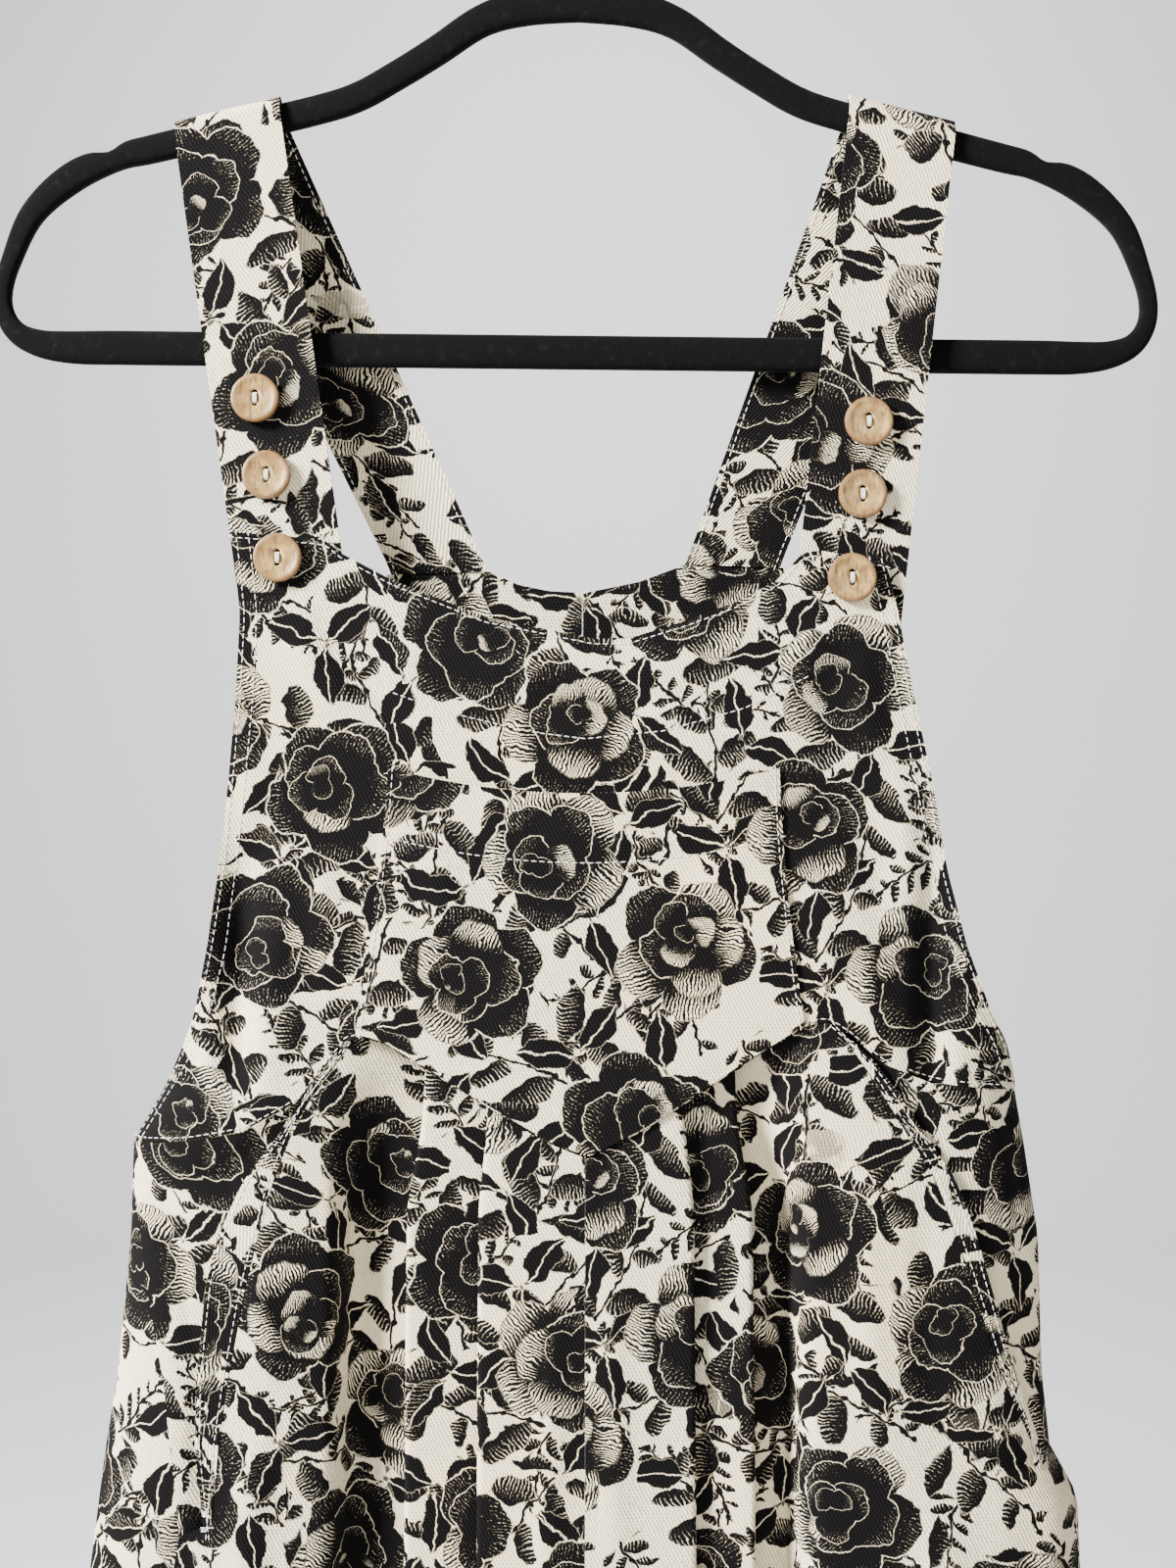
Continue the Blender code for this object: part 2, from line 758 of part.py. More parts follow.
def build_back_bodice(side, look):
    columns = []
    for part in np.linspace(0.0, 1.0, BACK_COLUMNS) ** BACK_COLUMN_POWER:
        top = drop_to(BACK_TOP, lambda z: back_point(side, part, z)[0])
        low = drop_to(BACK_WAIST, lambda z: back_point(side, part, z)[0]) + GAP / 2
        heights = [top + (low - top) * r / BACK_ROWS for r in range(BACK_ROWS + 1)]
        columns.append([back_point(side, part, z) for z in heights])
    grid = np.array(columns).transpose(1, 0, 2)
    return sheet(f"back_bodice_{side}", grid if side == "left" else grid[:, ::-1], CLOTH, look)


def hanger_point(across, height):
    """Point of the hanger's own drawing, shifted and tilted as it hangs."""
    x = across * math.cos(HANGER_TILT) + height * math.sin(HANGER_TILT) + HANGER_SHIFT
    z = height * math.cos(HANGER_TILT) - across * math.sin(HANGER_TILT)
    return x, z


def smooth_line(points, parts):
    """Catmull-Rom curve through rows of numbers, with the end rows repeated."""
    rows = [np.array(p, float) for p in (points[0], *points, points[-1])]
    line = []
    for a, b, c, d in zip(rows, rows[1:], rows[2:], rows[3:]):
        for part in range(parts):
            t = part / parts
            square = (2 * a - 5 * b + 4 * c - d) * t ** 2
            cube = (3 * b - a - 3 * c + d) * t ** 3
            line.append(0.5 * (2 * b + (c - a) * t + square + cube))
    line.append(rows[-1])
    return line


def build_hanger(look):
    half = smooth_line(HANGER_LINE, 2)
    line = half + [np.array((-p[0], p[1], p[2])) for p in half[-2:0:-1]]
    count = len(line)
    wide = HANGER_WALL / 2
    bm = bmesh.new()
    rings = []
    for i, (x, z, height) in enumerate(line):
        before = line[i - 1]
        after = line[(i + 1) % count]
        along = Vector((after[0] - before[0], after[1] - before[1])).normalized()
        across = Vector((-along.y, along.x))
        half_height = height / 2
        shape = (
            (wide, half_height - HANGER_CORNER),
            (wide - HANGER_CORNER, half_height),
            (HANGER_CORNER - wide, half_height),
            (-wide, half_height - HANGER_CORNER),
            (-wide, HANGER_CORNER - half_height),
            (HANGER_CORNER - wide, -half_height),
            (wide - HANGER_CORNER, -half_height),
            (wide, HANGER_CORNER - half_height),
        )
        ring = []
        for depth, rise in shape:
            px, pz = hanger_point(x + across.x * rise, z + across.y * rise)
            ring.append(bm.verts.new((px, depth, pz)))
        rings.append(ring)
    for i in range(count):
        one = rings[i]
        two = rings[(i + 1) % count]
        for j in range(8):
            k = (j + 1) % 8
            bm.faces.new((one[j], two[j], two[k], one[k]))
    return finish_object("hanger_frame", bm, look, 60.0)


def hook_line():
    """Middle of the wire: up from the neck, out to the right, over the top and down to a tip on the left."""
    radius = HOOK_RADIUS + WIRE / 2
    centre = -HOOK_RADIUS
    points = [(0.0, HOOK_FOOT_Z), *HOOK_NECK]
    for degrees in HOOK_SWEEP:
        angle = math.radians(degrees)
        points.append((radius * math.cos(angle), centre + radius * math.sin(angle)))
    return points


def build_hook(look):
    points = hook_line()
    bm = bmesh.new()
    rings = []
    for i, (x, z) in enumerate(points):
        before = points[max(0, i - 1)]
        after = points[min(len(points) - 1, i + 1)]
        along = Vector((after[0] - before[0], after[1] - before[1])).normalized()
        if i == 0:
            along = Vector((0.0, 1.0))
        ring = []
        for s in range(HOOK_SIDES):
            angle = math.tau * (s + 0.5) / HOOK_SIDES
            out = math.cos(angle) * WIRE / 2
            px, pz = hanger_point(x - along.y * out, z + along.x * out)
            ring.append(bm.verts.new((px - HANGER_SHIFT, math.sin(angle) * WIRE / 2, pz)))
        rings.append(ring)
    for one, two in zip(rings, rings[1:]):
        for s in range(HOOK_SIDES):
            k = (s + 1) % HOOK_SIDES
            bm.faces.new((one[s], two[s], two[k], one[k]))
    bm.faces.new(rings[0])
    bm.faces.new(rings[-1])
    return finish_object("hanger_hook", bm, look)


def strap_rows(side):
    """Rows of the flat band: each has its middle and its half width along the arm's slope."""
    plan = STRAPS[side]
    slope = ARM_SLOPE + HANGER_TILT * SIGN[side]
    fold_x = plan["fold_x"]
    own_x = abs(fold_x - HANGER_SHIFT)
    own_z = ARM_LEVEL[1] - (own_x - ARM_LEVEL[0]) * math.tan(ARM_SLOPE)
    arm_z = hanger_point(own_x * SIGN[side], own_z)[1]
    radius = HANGER_WALL / 2 + STRAP_CLEAR + STRAP_WALL / 2
    centre = arm_z + (ARM_HEIGHT / 2 - STRAP_FOLD_SINK) / math.cos(slope)
    rows = []
    for part in STRAP_FRONT_PARTS:
        x = fold_x + (plan["front"][0] - fold_x) * part
        z = centre + (plan["front"][1] - centre) * part
        lean = min(1.0, part * STRAP_LEAN)
        rows.append((x, -radius + (STRAP_FRONT_Y + radius) * lean, z))
    for degrees in STRAP_FOLD_DEGREES:
        angle = math.radians(degrees)
        rise = radius * math.cos(angle) / math.cos(slope)
        rows.append((fold_x, radius * math.sin(angle), centre + rise))
    for part in STRAP_BACK_PARTS:
        x = fold_x + (plan["back"][0] - fold_x) * part
        z = centre + (plan["back"][1] + GAP / 2 - centre) * part
        rows.append((x, radius + (STRAP_BACK_Y - radius) * part, z))
    return rows, slope


def build_strap(side, look):
    rows, slope = strap_rows(side)
    plan = STRAPS[side]
    last = len(rows) - 1
    back_rows = len(STRAP_BACK_PARTS)
    grid = []
    for i, (x, y, z) in enumerate(rows):
        half = STRAP_WIDTH / 2
        level = 1.0
        if i > last - back_rows:
            share = (i - (last - back_rows)) / back_rows
            half += (plan["back_half"] - half) * share
            level = 1.0 - share
        tilt = slope * level
        line = []
        for part in STRAP_ACROSS:
            across = part * half
            rise = -SIGN[side] * across * math.tan(tilt)
            line.append((x + across, y, z + rise))
        grid.append(line)
    grid = np.array(grid)
    for c in range(grid.shape[1]):
        grid[-1, c, 2] = column(BACK_TOP, grid[-1, c, 0], 1) + GAP
    return sheet(f"strap_{side}", grid, STRAP_WALL, look)


def build_button(side, number, look):
    """Turned disc with a raised rim and two round holes through it, seated on the strap or the bib."""
    across, height = BUTTONS[side][number - 1]
    if number == 3:
        seat = bib_depth(across, height) - CLOTH / 2
    else:
        rows, _ = strap_rows(side)
        front = sorted((row[2], row[1]) for row in rows[: len(STRAP_FRONT_PARTS) + 1])
        depths = [f[1] for f in front]
        seat = float(np.interp(height, [f[0] for f in front], depths)) - STRAP_WALL / 2
    bm = bmesh.new()
    rings = []
    for change, out in BUTTON_PROFILE:
        radius = BUTTON_RADIUS + change
        ring = []
        for s in range(BUTTON_SEGMENTS):
            angle = math.tau * s / BUTTON_SEGMENTS
            ring.append(bm.verts.new((radius * math.cos(angle), -out, radius * math.sin(angle))))
        rings.append(ring)
    for one, two in zip(rings, rings[1:]):
        for s in range(BUTTON_SEGMENTS):
            k = (s + 1) % BUTTON_SEGMENTS
            bm.faces.new((one[s], one[k], two[k], two[s]))
    bm.faces.new(rings[0])
    bm.faces.new(rings[-1])
    made = finish_object(f"button_{side}_{number}", bm, look)
    place = Matrix.Translation((across * MM, (seat - BUTTON_SEAT) * MM, height * MM))
    made.matrix_world = place @ Matrix.Rotation(-BUTTON_LEAN[number], 4, "X")
    for way in (-1.0, 1.0):
        hole = bmesh.new()
        offset = Matrix.Translation((0, 0, way * BUTTON_HOLE_SPACING / 2 * MM))
        bmesh.ops.create_cone(
            hole,
            cap_ends=True,
            segments=BUTTON_CUTTER_SIDES,
            radius1=BUTTON_HOLE * MM,
            radius2=BUTTON_HOLE * MM,
            depth=BUTTON_CUTTER_LENGTH * MM,
            matrix=offset @ Matrix.Rotation(math.pi / 2, 4, "X"),
        )
        mesh = bpy.data.meshes.new("hole")
        hole.to_mesh(mesh)
        hole.free()
        cutter = bpy.data.objects.new(f"hole_{side}_{number}_{'low' if way < 0 else 'high'}", mesh)
        cutter.display_type = "WIRE"
        cutter.hide_render = True
        cutter.matrix_world = made.matrix_world
        bpy.context.scene.collection.objects.link(cutter)
        cut = made.modifiers.new("hole", "BOOLEAN")
        cut.operation = "DIFFERENCE"
        cut.object = cutter
    return made


def main():
    clear_scene()
    twill = material("printed_twill", CREAM, 0.85)
    flock = material("black_flock", FLOCK, 0.95)
    steel = material("steel_wire", STEEL, 0.3, 1.0)
    horn = material("coconut", HORN, 0.5)
    build_hanger(flock)
    build_hook(steel)
    build_bib(twill)
    build_bib_pocket(twill)
    for side in ("left", "right"):
        build_back_bodice(side, twill)
        build_strap(side, twill)
        build_leg_front(side, twill)
        build_leg_back(side, twill)
        build_hip_yoke(side, twill)
        build_pocket_band(side, twill)
        for number in (1, 2, 3):
            build_button(side, number, horn)
    bpy.context.view_layer.update()


main()
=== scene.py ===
"""Dresses the pinafore overalls on their hanger with printed twill, stitches, buttons and flock.

The forms repeat the cut of the CAD part at a finer step: level sections for the legs, points by height for
the bodice and straps. Sizes in the tables are in millimetres, those of the properties in metres.
"""

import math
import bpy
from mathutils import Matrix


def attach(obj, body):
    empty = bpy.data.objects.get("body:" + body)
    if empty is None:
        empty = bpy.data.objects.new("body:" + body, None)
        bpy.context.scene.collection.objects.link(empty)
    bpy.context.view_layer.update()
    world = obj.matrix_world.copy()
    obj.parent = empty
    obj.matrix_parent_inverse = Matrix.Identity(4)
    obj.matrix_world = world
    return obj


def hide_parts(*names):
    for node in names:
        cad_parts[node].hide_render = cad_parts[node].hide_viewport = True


bl_info = {
    "name": "Pinafore Overalls on a Hanger",
    "version": (1, 0, 0),
    "blender": (4, 5, 0),
    "location": "View3D > Sidebar > Overalls",
    "description": "Builds printed twill overalls with buttoned straps, pleats and pockets on a slim hanger",
    "category": "Add Mesh",
}

import bmesh
import bpy
import numpy as np
from bpy.props import FloatProperty, FloatVectorProperty, PointerProperty
from mathutils import Matrix, Vector

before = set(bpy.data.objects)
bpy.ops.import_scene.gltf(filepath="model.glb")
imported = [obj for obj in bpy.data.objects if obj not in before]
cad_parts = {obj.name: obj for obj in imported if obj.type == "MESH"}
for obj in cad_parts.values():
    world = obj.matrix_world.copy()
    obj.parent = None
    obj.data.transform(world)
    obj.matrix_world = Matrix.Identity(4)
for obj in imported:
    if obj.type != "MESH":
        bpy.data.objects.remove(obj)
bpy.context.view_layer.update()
UV_NAME = "flat_cut"
SIDES = ("left", "right")

MM = 0.001

# Driving sizes
GAP = 0.3
SIDE_GAP = 0.02
CLOTH = 1.2
STRAP_WALL = 1.8
STRAP_WIDTH = 40.0
HEM_Z = -1385.0
CROTCH_Z = -866.0
RISE_BEND_Z = -790.0
FORK = 14.0
SIDE_TURN = 38.0
BODICE_TURN = 0.995
CENTRE_BACK_X = -1.0
POCKET_LIFT = 1.7
YOKE_DROP = 2.6
YOKE_UNDER = 20.0
POCKET_END_Z = {"left": -663.0, "right": -640.0}
HIP_START_Z = -400.0
HIP_FULL_Z = -505.0
SIGN = {"left": -1.0, "right": 1.0}

# Sections: step along the cloth, ease beside the inseam and bulge of the front beside the pocket, then the
# steps of the plain front, of the turn at the side, of the back and of the turn at the inseam
SECTION_STEP = 0.4
INSEAM_EASE = 0.75
FRONT_BULGE = 1.5
FRONT_STEPS = 40
TURN_STEPS = 50
BACK_STEPS = 90
INSEAM_STEPS = 30
LEAST_TURN = 0.02
LEAST_BEND = 0.5

# Heights over which the pleats leave the seam and over which they fall open
PLEAT_SEAM = (-483.0, -548.0)
PLEAT_OPEN = (-620.0, HEM_Z)

# Soft upright folds of the back: depth, width of a wave over tau, offset; and where they grow
BACK_FOLDS = ((3.4, 11.5, 0.0), (2.0, 6.3, 1.1))
BACK_FOLD_SHIFT = {"left": 9.0, "right": 0.0}
BACK_FOLD_FADE = 20.0
BACK_FOLD_HEIGHTS = (-520.0, -760.0)

# Valley in the bodice beside each armhole: across, depth, width, where it starts and where it ends
VALLEY_X = {"left": 131.0, "right": 129.5}
VALLEY_DEPTH = 5.5
VALLEY_WIDTH = 6.0
VALLEY_START = (-385.0, -450.0)
VALLEY_END = (-485.0, -515.0)

# Bib pocket: half width at the mouth and its growth, height of the mouth's middle and rise at its ends, then
# its shift to one side, how far its foot stays above the seam line, and how far its edges lie closer
BIB_POCKET_HALF = 73.5
BIB_POCKET_FLARE = 10.5
BIB_POCKET_FLARE_POWER = 1.4
BIB_POCKET_MOUTH = -387.5
BIB_POCKET_RISE = 9.5
BIB_POCKET_GAPE = 1.6
BIB_POCKET_SHIFT = -0.5
BIB_POCKET_SLANT = -1.5
BIB_POCKET_FOOT = 1.0
BIB_POCKET_EDGE_SINK = 0.45

# Depth of the front and back cloth from the hanger's plane: height, front, back
DEPTH = (
    (-280, 11.5, 9.5), (-420, 15.0, 12.0), (-520, 19.0, 17.0), (-680, 25.0, 23.0),
    (-870, 27.0, 26.0), (-1385, 31.0, 31.0),
)

# Side outline of the hips and legs: height, left, right
SIDE = (
    (-470, 165, 160), (-500, 169, 163.5), (-520, 172, 167), (-556, 173, 172.5), (-608, 178, 174),
    (-636, 182.5, 177), (-655, 185, 187.5), (-683, 188.5, 188.5), (-760, 197, 197),
    (-866, 207, 207), (-1000, 218, 217), (-1200, 230, 229), (-1385, 238, 237),
)

# Inner edge of each leg below the crotch: height, distance from the centre
INSEAM = (
    (-866, 1.1), (-900, 2.5), (-1000, 5.0), (-1385, 9.0),
)

# Armhole edges of the front bodice: height, left, right
BIB_EDGE = (
    (-288, 133.5, 112.0), (-300, 132.0, 113.5), (-320, 130.0, 118.0), (-352, 131.5, 124.0),
    (-383, 134.0, 130.5), (-418, 138.0, 136.5), (-445, 142.0, 143.5), (-470, 147.0, 153.0),
    (-481, 151.0, 159.0), (-494, 157.0, 162.7), (-500, 160.0, 163.5), (-512, 167.0, 165.0),
    (-520, 172.0, 167.0),
)

# Armhole edges of the back bodice: height, left, right
BACK_EDGE = (
    (-298, 75.3, 76.0), (-340, 87.0, 88.0), (-380, 99.0, 100.0), (-420, 113.0, 114.0),
    (-460, 133.0, 134.0), (-485, 149.0, 151.0), (-500, 160.0, 163.5), (-520, 172.0, 167.0),
)

# Top edge of the front bodice: across, height
NECKLINE = (
    (-140, -288.5), (-102, -291.5), (-97, -292.5), (-93, -296.5), (-73, -307.0), (-38, -321.0),
    (3, -329.3), (16, -329.3), (38, -322.5), (58, -315.0), (72, -307.5), (82, -297.0), (88, -296.0),
    (112, -300.0), (120, -302.0),
)

# Pointed waist seam of the front: across, height
WAIST = (
    (-175, -520.0), (-150, -518.0), (-128, -514.0), (-108, -503.0), (-96, -488.0), (-90, -480.5),
    (-83, -479.0), (-75, -481.5), (-61, -490.0), (-37, -504.5), (-14, -518.0), (1, -524.0),
    (22, -513.5), (40, -502.0), (57, -490.5), (71, -482.0), (83, -474.5), (92, -473.3),
    (100, -478.5), (112, -489.0), (130, -496.0), (164, -500.0),
)

# Top edge and waist seam of the back: across, height
BACK_TOP = (
    (-80, -303.0), (-37, -301.8), (-26, -306.8), (-14, -309.3), (0, -310.0), (21, -305.7),
    (39, -299.0), (80, -300.5),
)
BACK_WAIST = ((-175, -520.0), (-90, -509.0), (0, -505.0), (90, -502.0), (170, -500.0))

# Slanted pocket mouth: height, outer edge, seam of its band
POCKET = {
    "left": (
        (-481.5, 90.2, 88.2), (-488, 95.2, 92.4), (-503, 107.2, 103.4), (-516, 115.0, 110.0),
        (-533, 128.0, 116.5), (-554, 137.4, 122.0), (-572, 141.5, 126.5), (-605, 144.5, 132.5),
        (-630, 145.0, 136.0), (-663, 141.0, 138.5),
    ),
    "right": (
        (-475.5, 94.6, 93.0), (-479, 99.0, 96.5), (-489, 109.5, 104.0), (-496, 114.5, 108.5),
        (-512, 125.0, 118.5), (-531, 138.0, 130.5), (-551, 145.5, 138.0), (-571, 151.4, 144.5),
        (-600, 159.5, 153.5), (-634, 171.5, 168.5),
    ),
}

# How far the side seam swings round to the front: height, left, right
SEAM_SWING = (
    (-520, 0.0, 0.0), (-560, 14.0, 0.0), (-605, 30.0, 0.0), (-640, 41.0, 0.0), (-663, 47.0, 0.0),
    (-900, 44.0, 0.0), (-1385, 24.0, 0.0),
)

# Pleats of each front, from the centre seam outwards: the way along the cloth where pressed and where loose,
# and the turn of the cloth in degrees at the seam, the hip and the hem.
# A turn of 180 is a pressed return, a negative turn comes forwards.
PLEATS = {
    "left": (
        (0.0, 0.0, 0, 0, 0),
        (35.5, 27.0, 0, 0, -6),
        (39.7, 45.0, 180, 176, 46),
        (48.2, 52.0, 180, 172, 46),
        (52.4, 67.0, -2, -4, -20),
        (86.0, 82.0, -2, -4, -20),
        (90.2, 98.0, 180, 172, 46),
        (98.7, 106.0, 180, 165, 46),
        (102.9, 120.0, 0, 8, 4),
        (128.0, 134.0, 0, 18, 12),
        (137.0, 148.0, 0, -76, -52),
        (147.0, 158.0, 0, -62, -40),
        (152.0, 172.0, 0, 0, 0),
    ),
    "right": (
        (0.0, 0.0, 0, 0, 0),
        (37.5, 29.0, 0, 0, -6),
        (41.7, 45.0, 180, 178, 48),
        (50.2, 53.0, 180, 176, 48),
        (54.4, 68.0, -2, -5, -24),
        (84.0, 84.0, -2, -5, -16),
        (87.6, 96.0, 150, 140, 40),
        (92.6, 102.0, 150, 130, 40),
        (96.2, 116.0, -4, -6, 0),
        (108.0, 128.0, 0, 30, 16),
        (116.0, 142.0, 0, -76, -52),
        (126.0, 152.0, 0, -66, -40),
        (133.0, 166.0, 0, 0, 0),
    ),
}

# Rows of each pleat table: first and last of the turned-back folds, and how many at the end let the cloth
# rise to the side of the front
FIRST_FOLD = 1
LAST_FOLD = 8
RISE_ROWS = 4

# Where the pleats end and the side of the front starts: height, left, right
PLEAT_END = ((-470, 97, 86), (-520, 97, 86), (-680, 99, 88), (-866, 112, 104), (-1385, 128, 124))

# Under-layer of the slanted pockets: heights over which its inner edge goes under, and its least lap there
YOKE_IN_HEIGHTS = (-515.0, -545.0)
YOKE_INNER_LAP = 2.0
BAND_NARROWEST = 1.2

# First guess and rounds of the search for the height at which a column meets its seam line
SEAM_SEARCH_START = -500.0
SEAM_SEARCH_ROUNDS = 6

# Spread of the back bodice's columns, closer towards the side
BACK_COLUMN_POWER = 0.85

# Hanger: wall, and the centre line from the neck round one end to the bar (across, height, height of the
# section across the line)
HANGER_SHIFT = -1.5
HANGER_TILT = math.radians(0.6)
HANGER_WALL = 6.0
HANGER_LINE = (
    (0, -84.0, 17.0), (20, -87.0, 14.0), (37, -92.5, 12.0), (54, -104.0, 11.3), (69, -113.5, 11.0),
    (84, -122.0, 11.0), (100, -127.3, 11.0), (131, -135.0, 11.0), (162, -142.7, 10.6),
    (176, -146.2, 10.0), (193, -154.0, 11.5), (208, -168.0, 9.5), (216, -186.0, 7.4),
    (219, -198.0, 6.8), (218, -207.0, 7.2), (213, -214.0, 8.6), (204, -217.8, 10.6),
    (192, -219.0, 12.4), (176, -219.0, 13.0), (140, -219.0, 13.0), (70, -219.0, 13.0),
    (0, -219.0, 13.0),
)
ARM_SLOPE = math.atan2(7.7, 31.0)
ARM_LEVEL = (131.0, -135.0)
ARM_HEIGHT = 11.0

# Hook of round wire
WIRE = 3.4
HOOK_RADIUS = 24.0
HOOK_FOOT_Z = -75.2
HOOK_NECK = ((0.0, -66.0), (0.8, -58.5), (5.5, -51.8))

# Straps: middle of the fold over the arm, middle of the front end and of the back end (across, height)
STRAPS = {
    "left": {"fold_x": -136.3, "front": (-108.5, -326.0), "back": (-56.3, -302.0), "back_half": 18.8},
    "right": {"fold_x": 120.8, "front": (98.0, -330.0), "back": (57.0, -300.0), "back_half": 18.4},
}
STRAP_FRONT_Y = -9.3
STRAP_BACK_Y = 9.5
STRAP_CLEAR = 0.8
STRAP_FOLD_SINK = 2.6
STRAP_LEAN = 1.12

# Buttons: across, height; the lowest of each three sits on the bib's corner
BUTTONS = {
    "left": ((-124.7, -238.2), (-120.3, -267.3), (-115.6, -298.9)),
    "right": ((107.2, -247.0), (104.8, -274.5), (100.4, -306.4)),
}
BUTTON_SEAT = 0.55
BUTTON_LEAN = {1: 0.035, 2: 0.035, 3: 0.012}
BUTTON_HOLE = 1.1
BUTTON_HOLE_SPACING = 4.2

# Level sections that are already worked out
SECTIONS = {}


def column(table, key, index):
    """Straight-line value of one column of a table whose first column falls or rises steadily."""
    keys = [row[0] for row in table]
    values = [row[index] for row in table]
    if keys[0] > keys[-1]:
        keys = keys[::-1]
        values = values[::-1]
    return float(np.interp(key, keys, values))


def eased(t):
    return t * t * (3.0 - 2.0 * t)


def blend(value, start, end):
    return eased(min(1.0, max(0.0, (value - start) / (end - start))))


def by_side(side):
    return 1 if side == "left" else 2


def side_x(side, z):
    return column(SIDE, z, by_side(side))


def turned(x, edge, depth, share=1.0):
    """Distance of the cloth from the hanger's plane where it rounds off towards its side edge."""
    t = np.clip((x - (edge - SIDE_TURN)) / SIDE_TURN, 0.0, 1.0) * share
    return depth * np.sqrt(np.maximum(0.0, 1.0 - t * t))


def grid_normals(grid, across=None):
    """Unit normals of a grid (rows, columns, xyz), facing the front for a panel read left to right."""
    if across is None:
        across = np.gradient(grid, axis=1)
    down = np.gradient(grid, axis=0)
    normal = np.cross(down, across)
    length = np.linalg.norm(normal, axis=2, keepdims=True)
    return normal / np.maximum(length, 1e-9)


def pleat_rows(side, z):
    """Way along the cloth and turn at each row of the pleat table, at one height."""
    hip = blend(z, *PLEAT_SEAM)
    loose = blend(z, *PLEAT_OPEN)
    ways = []
    turns = []
    for pressed, free, seam_turn, hip_turn, hem_turn in PLEATS[side]:
        ways.append(pressed + (free - pressed) * loose)
        upper = seam_turn + (hip_turn - seam_turn) * hip
        turns.append(upper + (hem_turn - upper) * loose)
    return ways, turns


def crotch_turn(z):
    """Turn of the inner edge in degrees: 0 along the centre seam, 90 along the inseam."""
    return 90.0 * blend(z, RISE_BEND_Z, CROTCH_Z)


def section(side, z):
    """Level section of one half: way along the cloth, across, depth, and the ways to its main points."""
    key = (side, round(z, 3))
    if key in SECTIONS:
        return SECTIONS[key]
    front = column(DEPTH, z, 1)
    back = column(DEPTH, z, 2)
    edge = side_x(side, z)
    turn = math.radians(crotch_turn(z))
    fork = FORK * math.sin(turn)
    inner = GAP / 2 + INSEAM_EASE * math.sin(turn)
    if z < CROTCH_Z:
        inner = column(INSEAM, z, 1)
    ways, turns = pleat_rows(side, z)
    fine = np.arange(-fork, ways[-1], SECTION_STEP)
    angle = np.radians(np.interp(fine, ways, turns))
    bend = front * turn
    if bend > LEAST_BEND:
        lead = np.clip(1.0 - (fine + fork) / bend, 0.0, 1.0)
        angle = angle - turn * lead
    xs = inner + np.concatenate(([0.0], np.cumsum(np.cos(angle[:-1]) * SECTION_STEP)))
    ys = np.concatenate(([0.0], np.cumsum(np.sin(angle[:-1]) * SECTION_STEP)))
    ys = ys - front * math.cos(turn)
    pleat_end = column(PLEAT_END, z, by_side(side))
    xs = inner + (xs - inner) * (pleat_end - inner) / (xs[-1] - inner)
    drift = np.clip((fine - ways[LAST_FOLD]) / (ways[-1] - ways[LAST_FOLD]), 0.0, 1.0)
    ys = ys + (-front - ys[-1]) * eased(drift)
    along = np.linspace(pleat_end, edge - SIDE_TURN, FRONT_STEPS)[1:]
    swell = np.sin(np.linspace(0.0, math.pi, FRONT_STEPS)[1:]) * FRONT_BULGE
    arc = np.radians(np.linspace(0.0, 90.0, TURN_STEPS)[1:])
    front_x = np.concatenate((xs, along, edge - SIDE_TURN * (1.0 - np.sin(arc))))
    front_y = np.concatenate((ys, -front - swell, -front * np.cos(arc)))
    front_y[-1] = 0.0
    back_arc = arc[:-1][::-1]
    mid_x = np.linspace(edge - SIDE_TURN, inner + front * math.sin(turn), BACK_STEPS)
    wave = back_wave(side, mid_x, z)
    tail = np.linspace(0.0, turn, INSEAM_STEPS)[1:] if turn > LEAST_TURN else np.zeros(0)
    tail_x = inner + front * (math.sin(turn) - np.sin(tail))
    back_x = np.concatenate((edge - SIDE_TURN * (1.0 - np.sin(back_arc)), mid_x, tail_x))
    back_y = np.concatenate((back * np.cos(back_arc), back + wave, back * np.cos(tail)))
    x = np.concatenate((front_x, back_x)) * SIGN[side]
    y = np.concatenate((front_y, back_y))
    steps = np.hypot(np.diff(x), np.diff(y))
    way = np.concatenate(([0.0], np.cumsum(steps)))
    marks = {
        "ways": np.interp(ways, fine, way[: len(fine)]),
        "side": way[len(front_x) - 1],
        "end": way[-1],
        "front_count": len(front_x),
    }
    SECTIONS[key] = (way, x, y, marks)
    return SECTIONS[key]


def back_wave(side, x, z):
    """Soft upright folds of the back, growing below the waist."""
    grow = blend(z, *BACK_FOLD_HEIGHTS)
    shift = BACK_FOLD_SHIFT[side]
    fade = np.clip((side_x(side, z) - SIDE_TURN - x) / BACK_FOLD_FADE, 0.0, 1.0)
    fade = fade * np.clip((x - x.min()) / BACK_FOLD_FADE, 0.0, 1.0)
    (deep, wide, offset), (deep_2, wide_2, offset_2) = BACK_FOLDS
    folds = deep * np.sin((x + shift) / wide + offset)
    folds = folds + deep_2 * np.sin((x - shift) / wide_2 + offset_2)
    return grow * fade * folds


def at_way(side, z, way):
    ways, x, y, _ = section(side, z)
    return np.array((np.interp(way, ways, x), np.interp(way, ways, y), z))


def along_section(side, z, way):
    """Direction of the cloth along a section."""
    return at_way(side, z, way + 0.5) - at_way(side, z, way - 0.5)


def way_at_front_x(side, z, across):
    """Way along the section to a distance from the centre, on the smooth part of the front."""
    ways, x, _, marks = section(side, z)
    start = int(np.searchsorted(ways, marks["ways"][-RISE_ROWS]))
    stop = marks["front_count"]
    return float(np.interp(across, np.abs(x[start:stop]), ways[start:stop]))


def seam_way(side, z):
    marks = section(side, z)[3]
    return marks["side"] - column(SEAM_SWING, z, by_side(side))


def drop_to(line, across_at):
    """Height where a column of a panel meets a seam line that is given across."""
    z = SEAM_SEARCH_START
    for _ in range(SEAM_SEARCH_ROUNDS):
        z = column(line, across_at(z), 1)
    return z


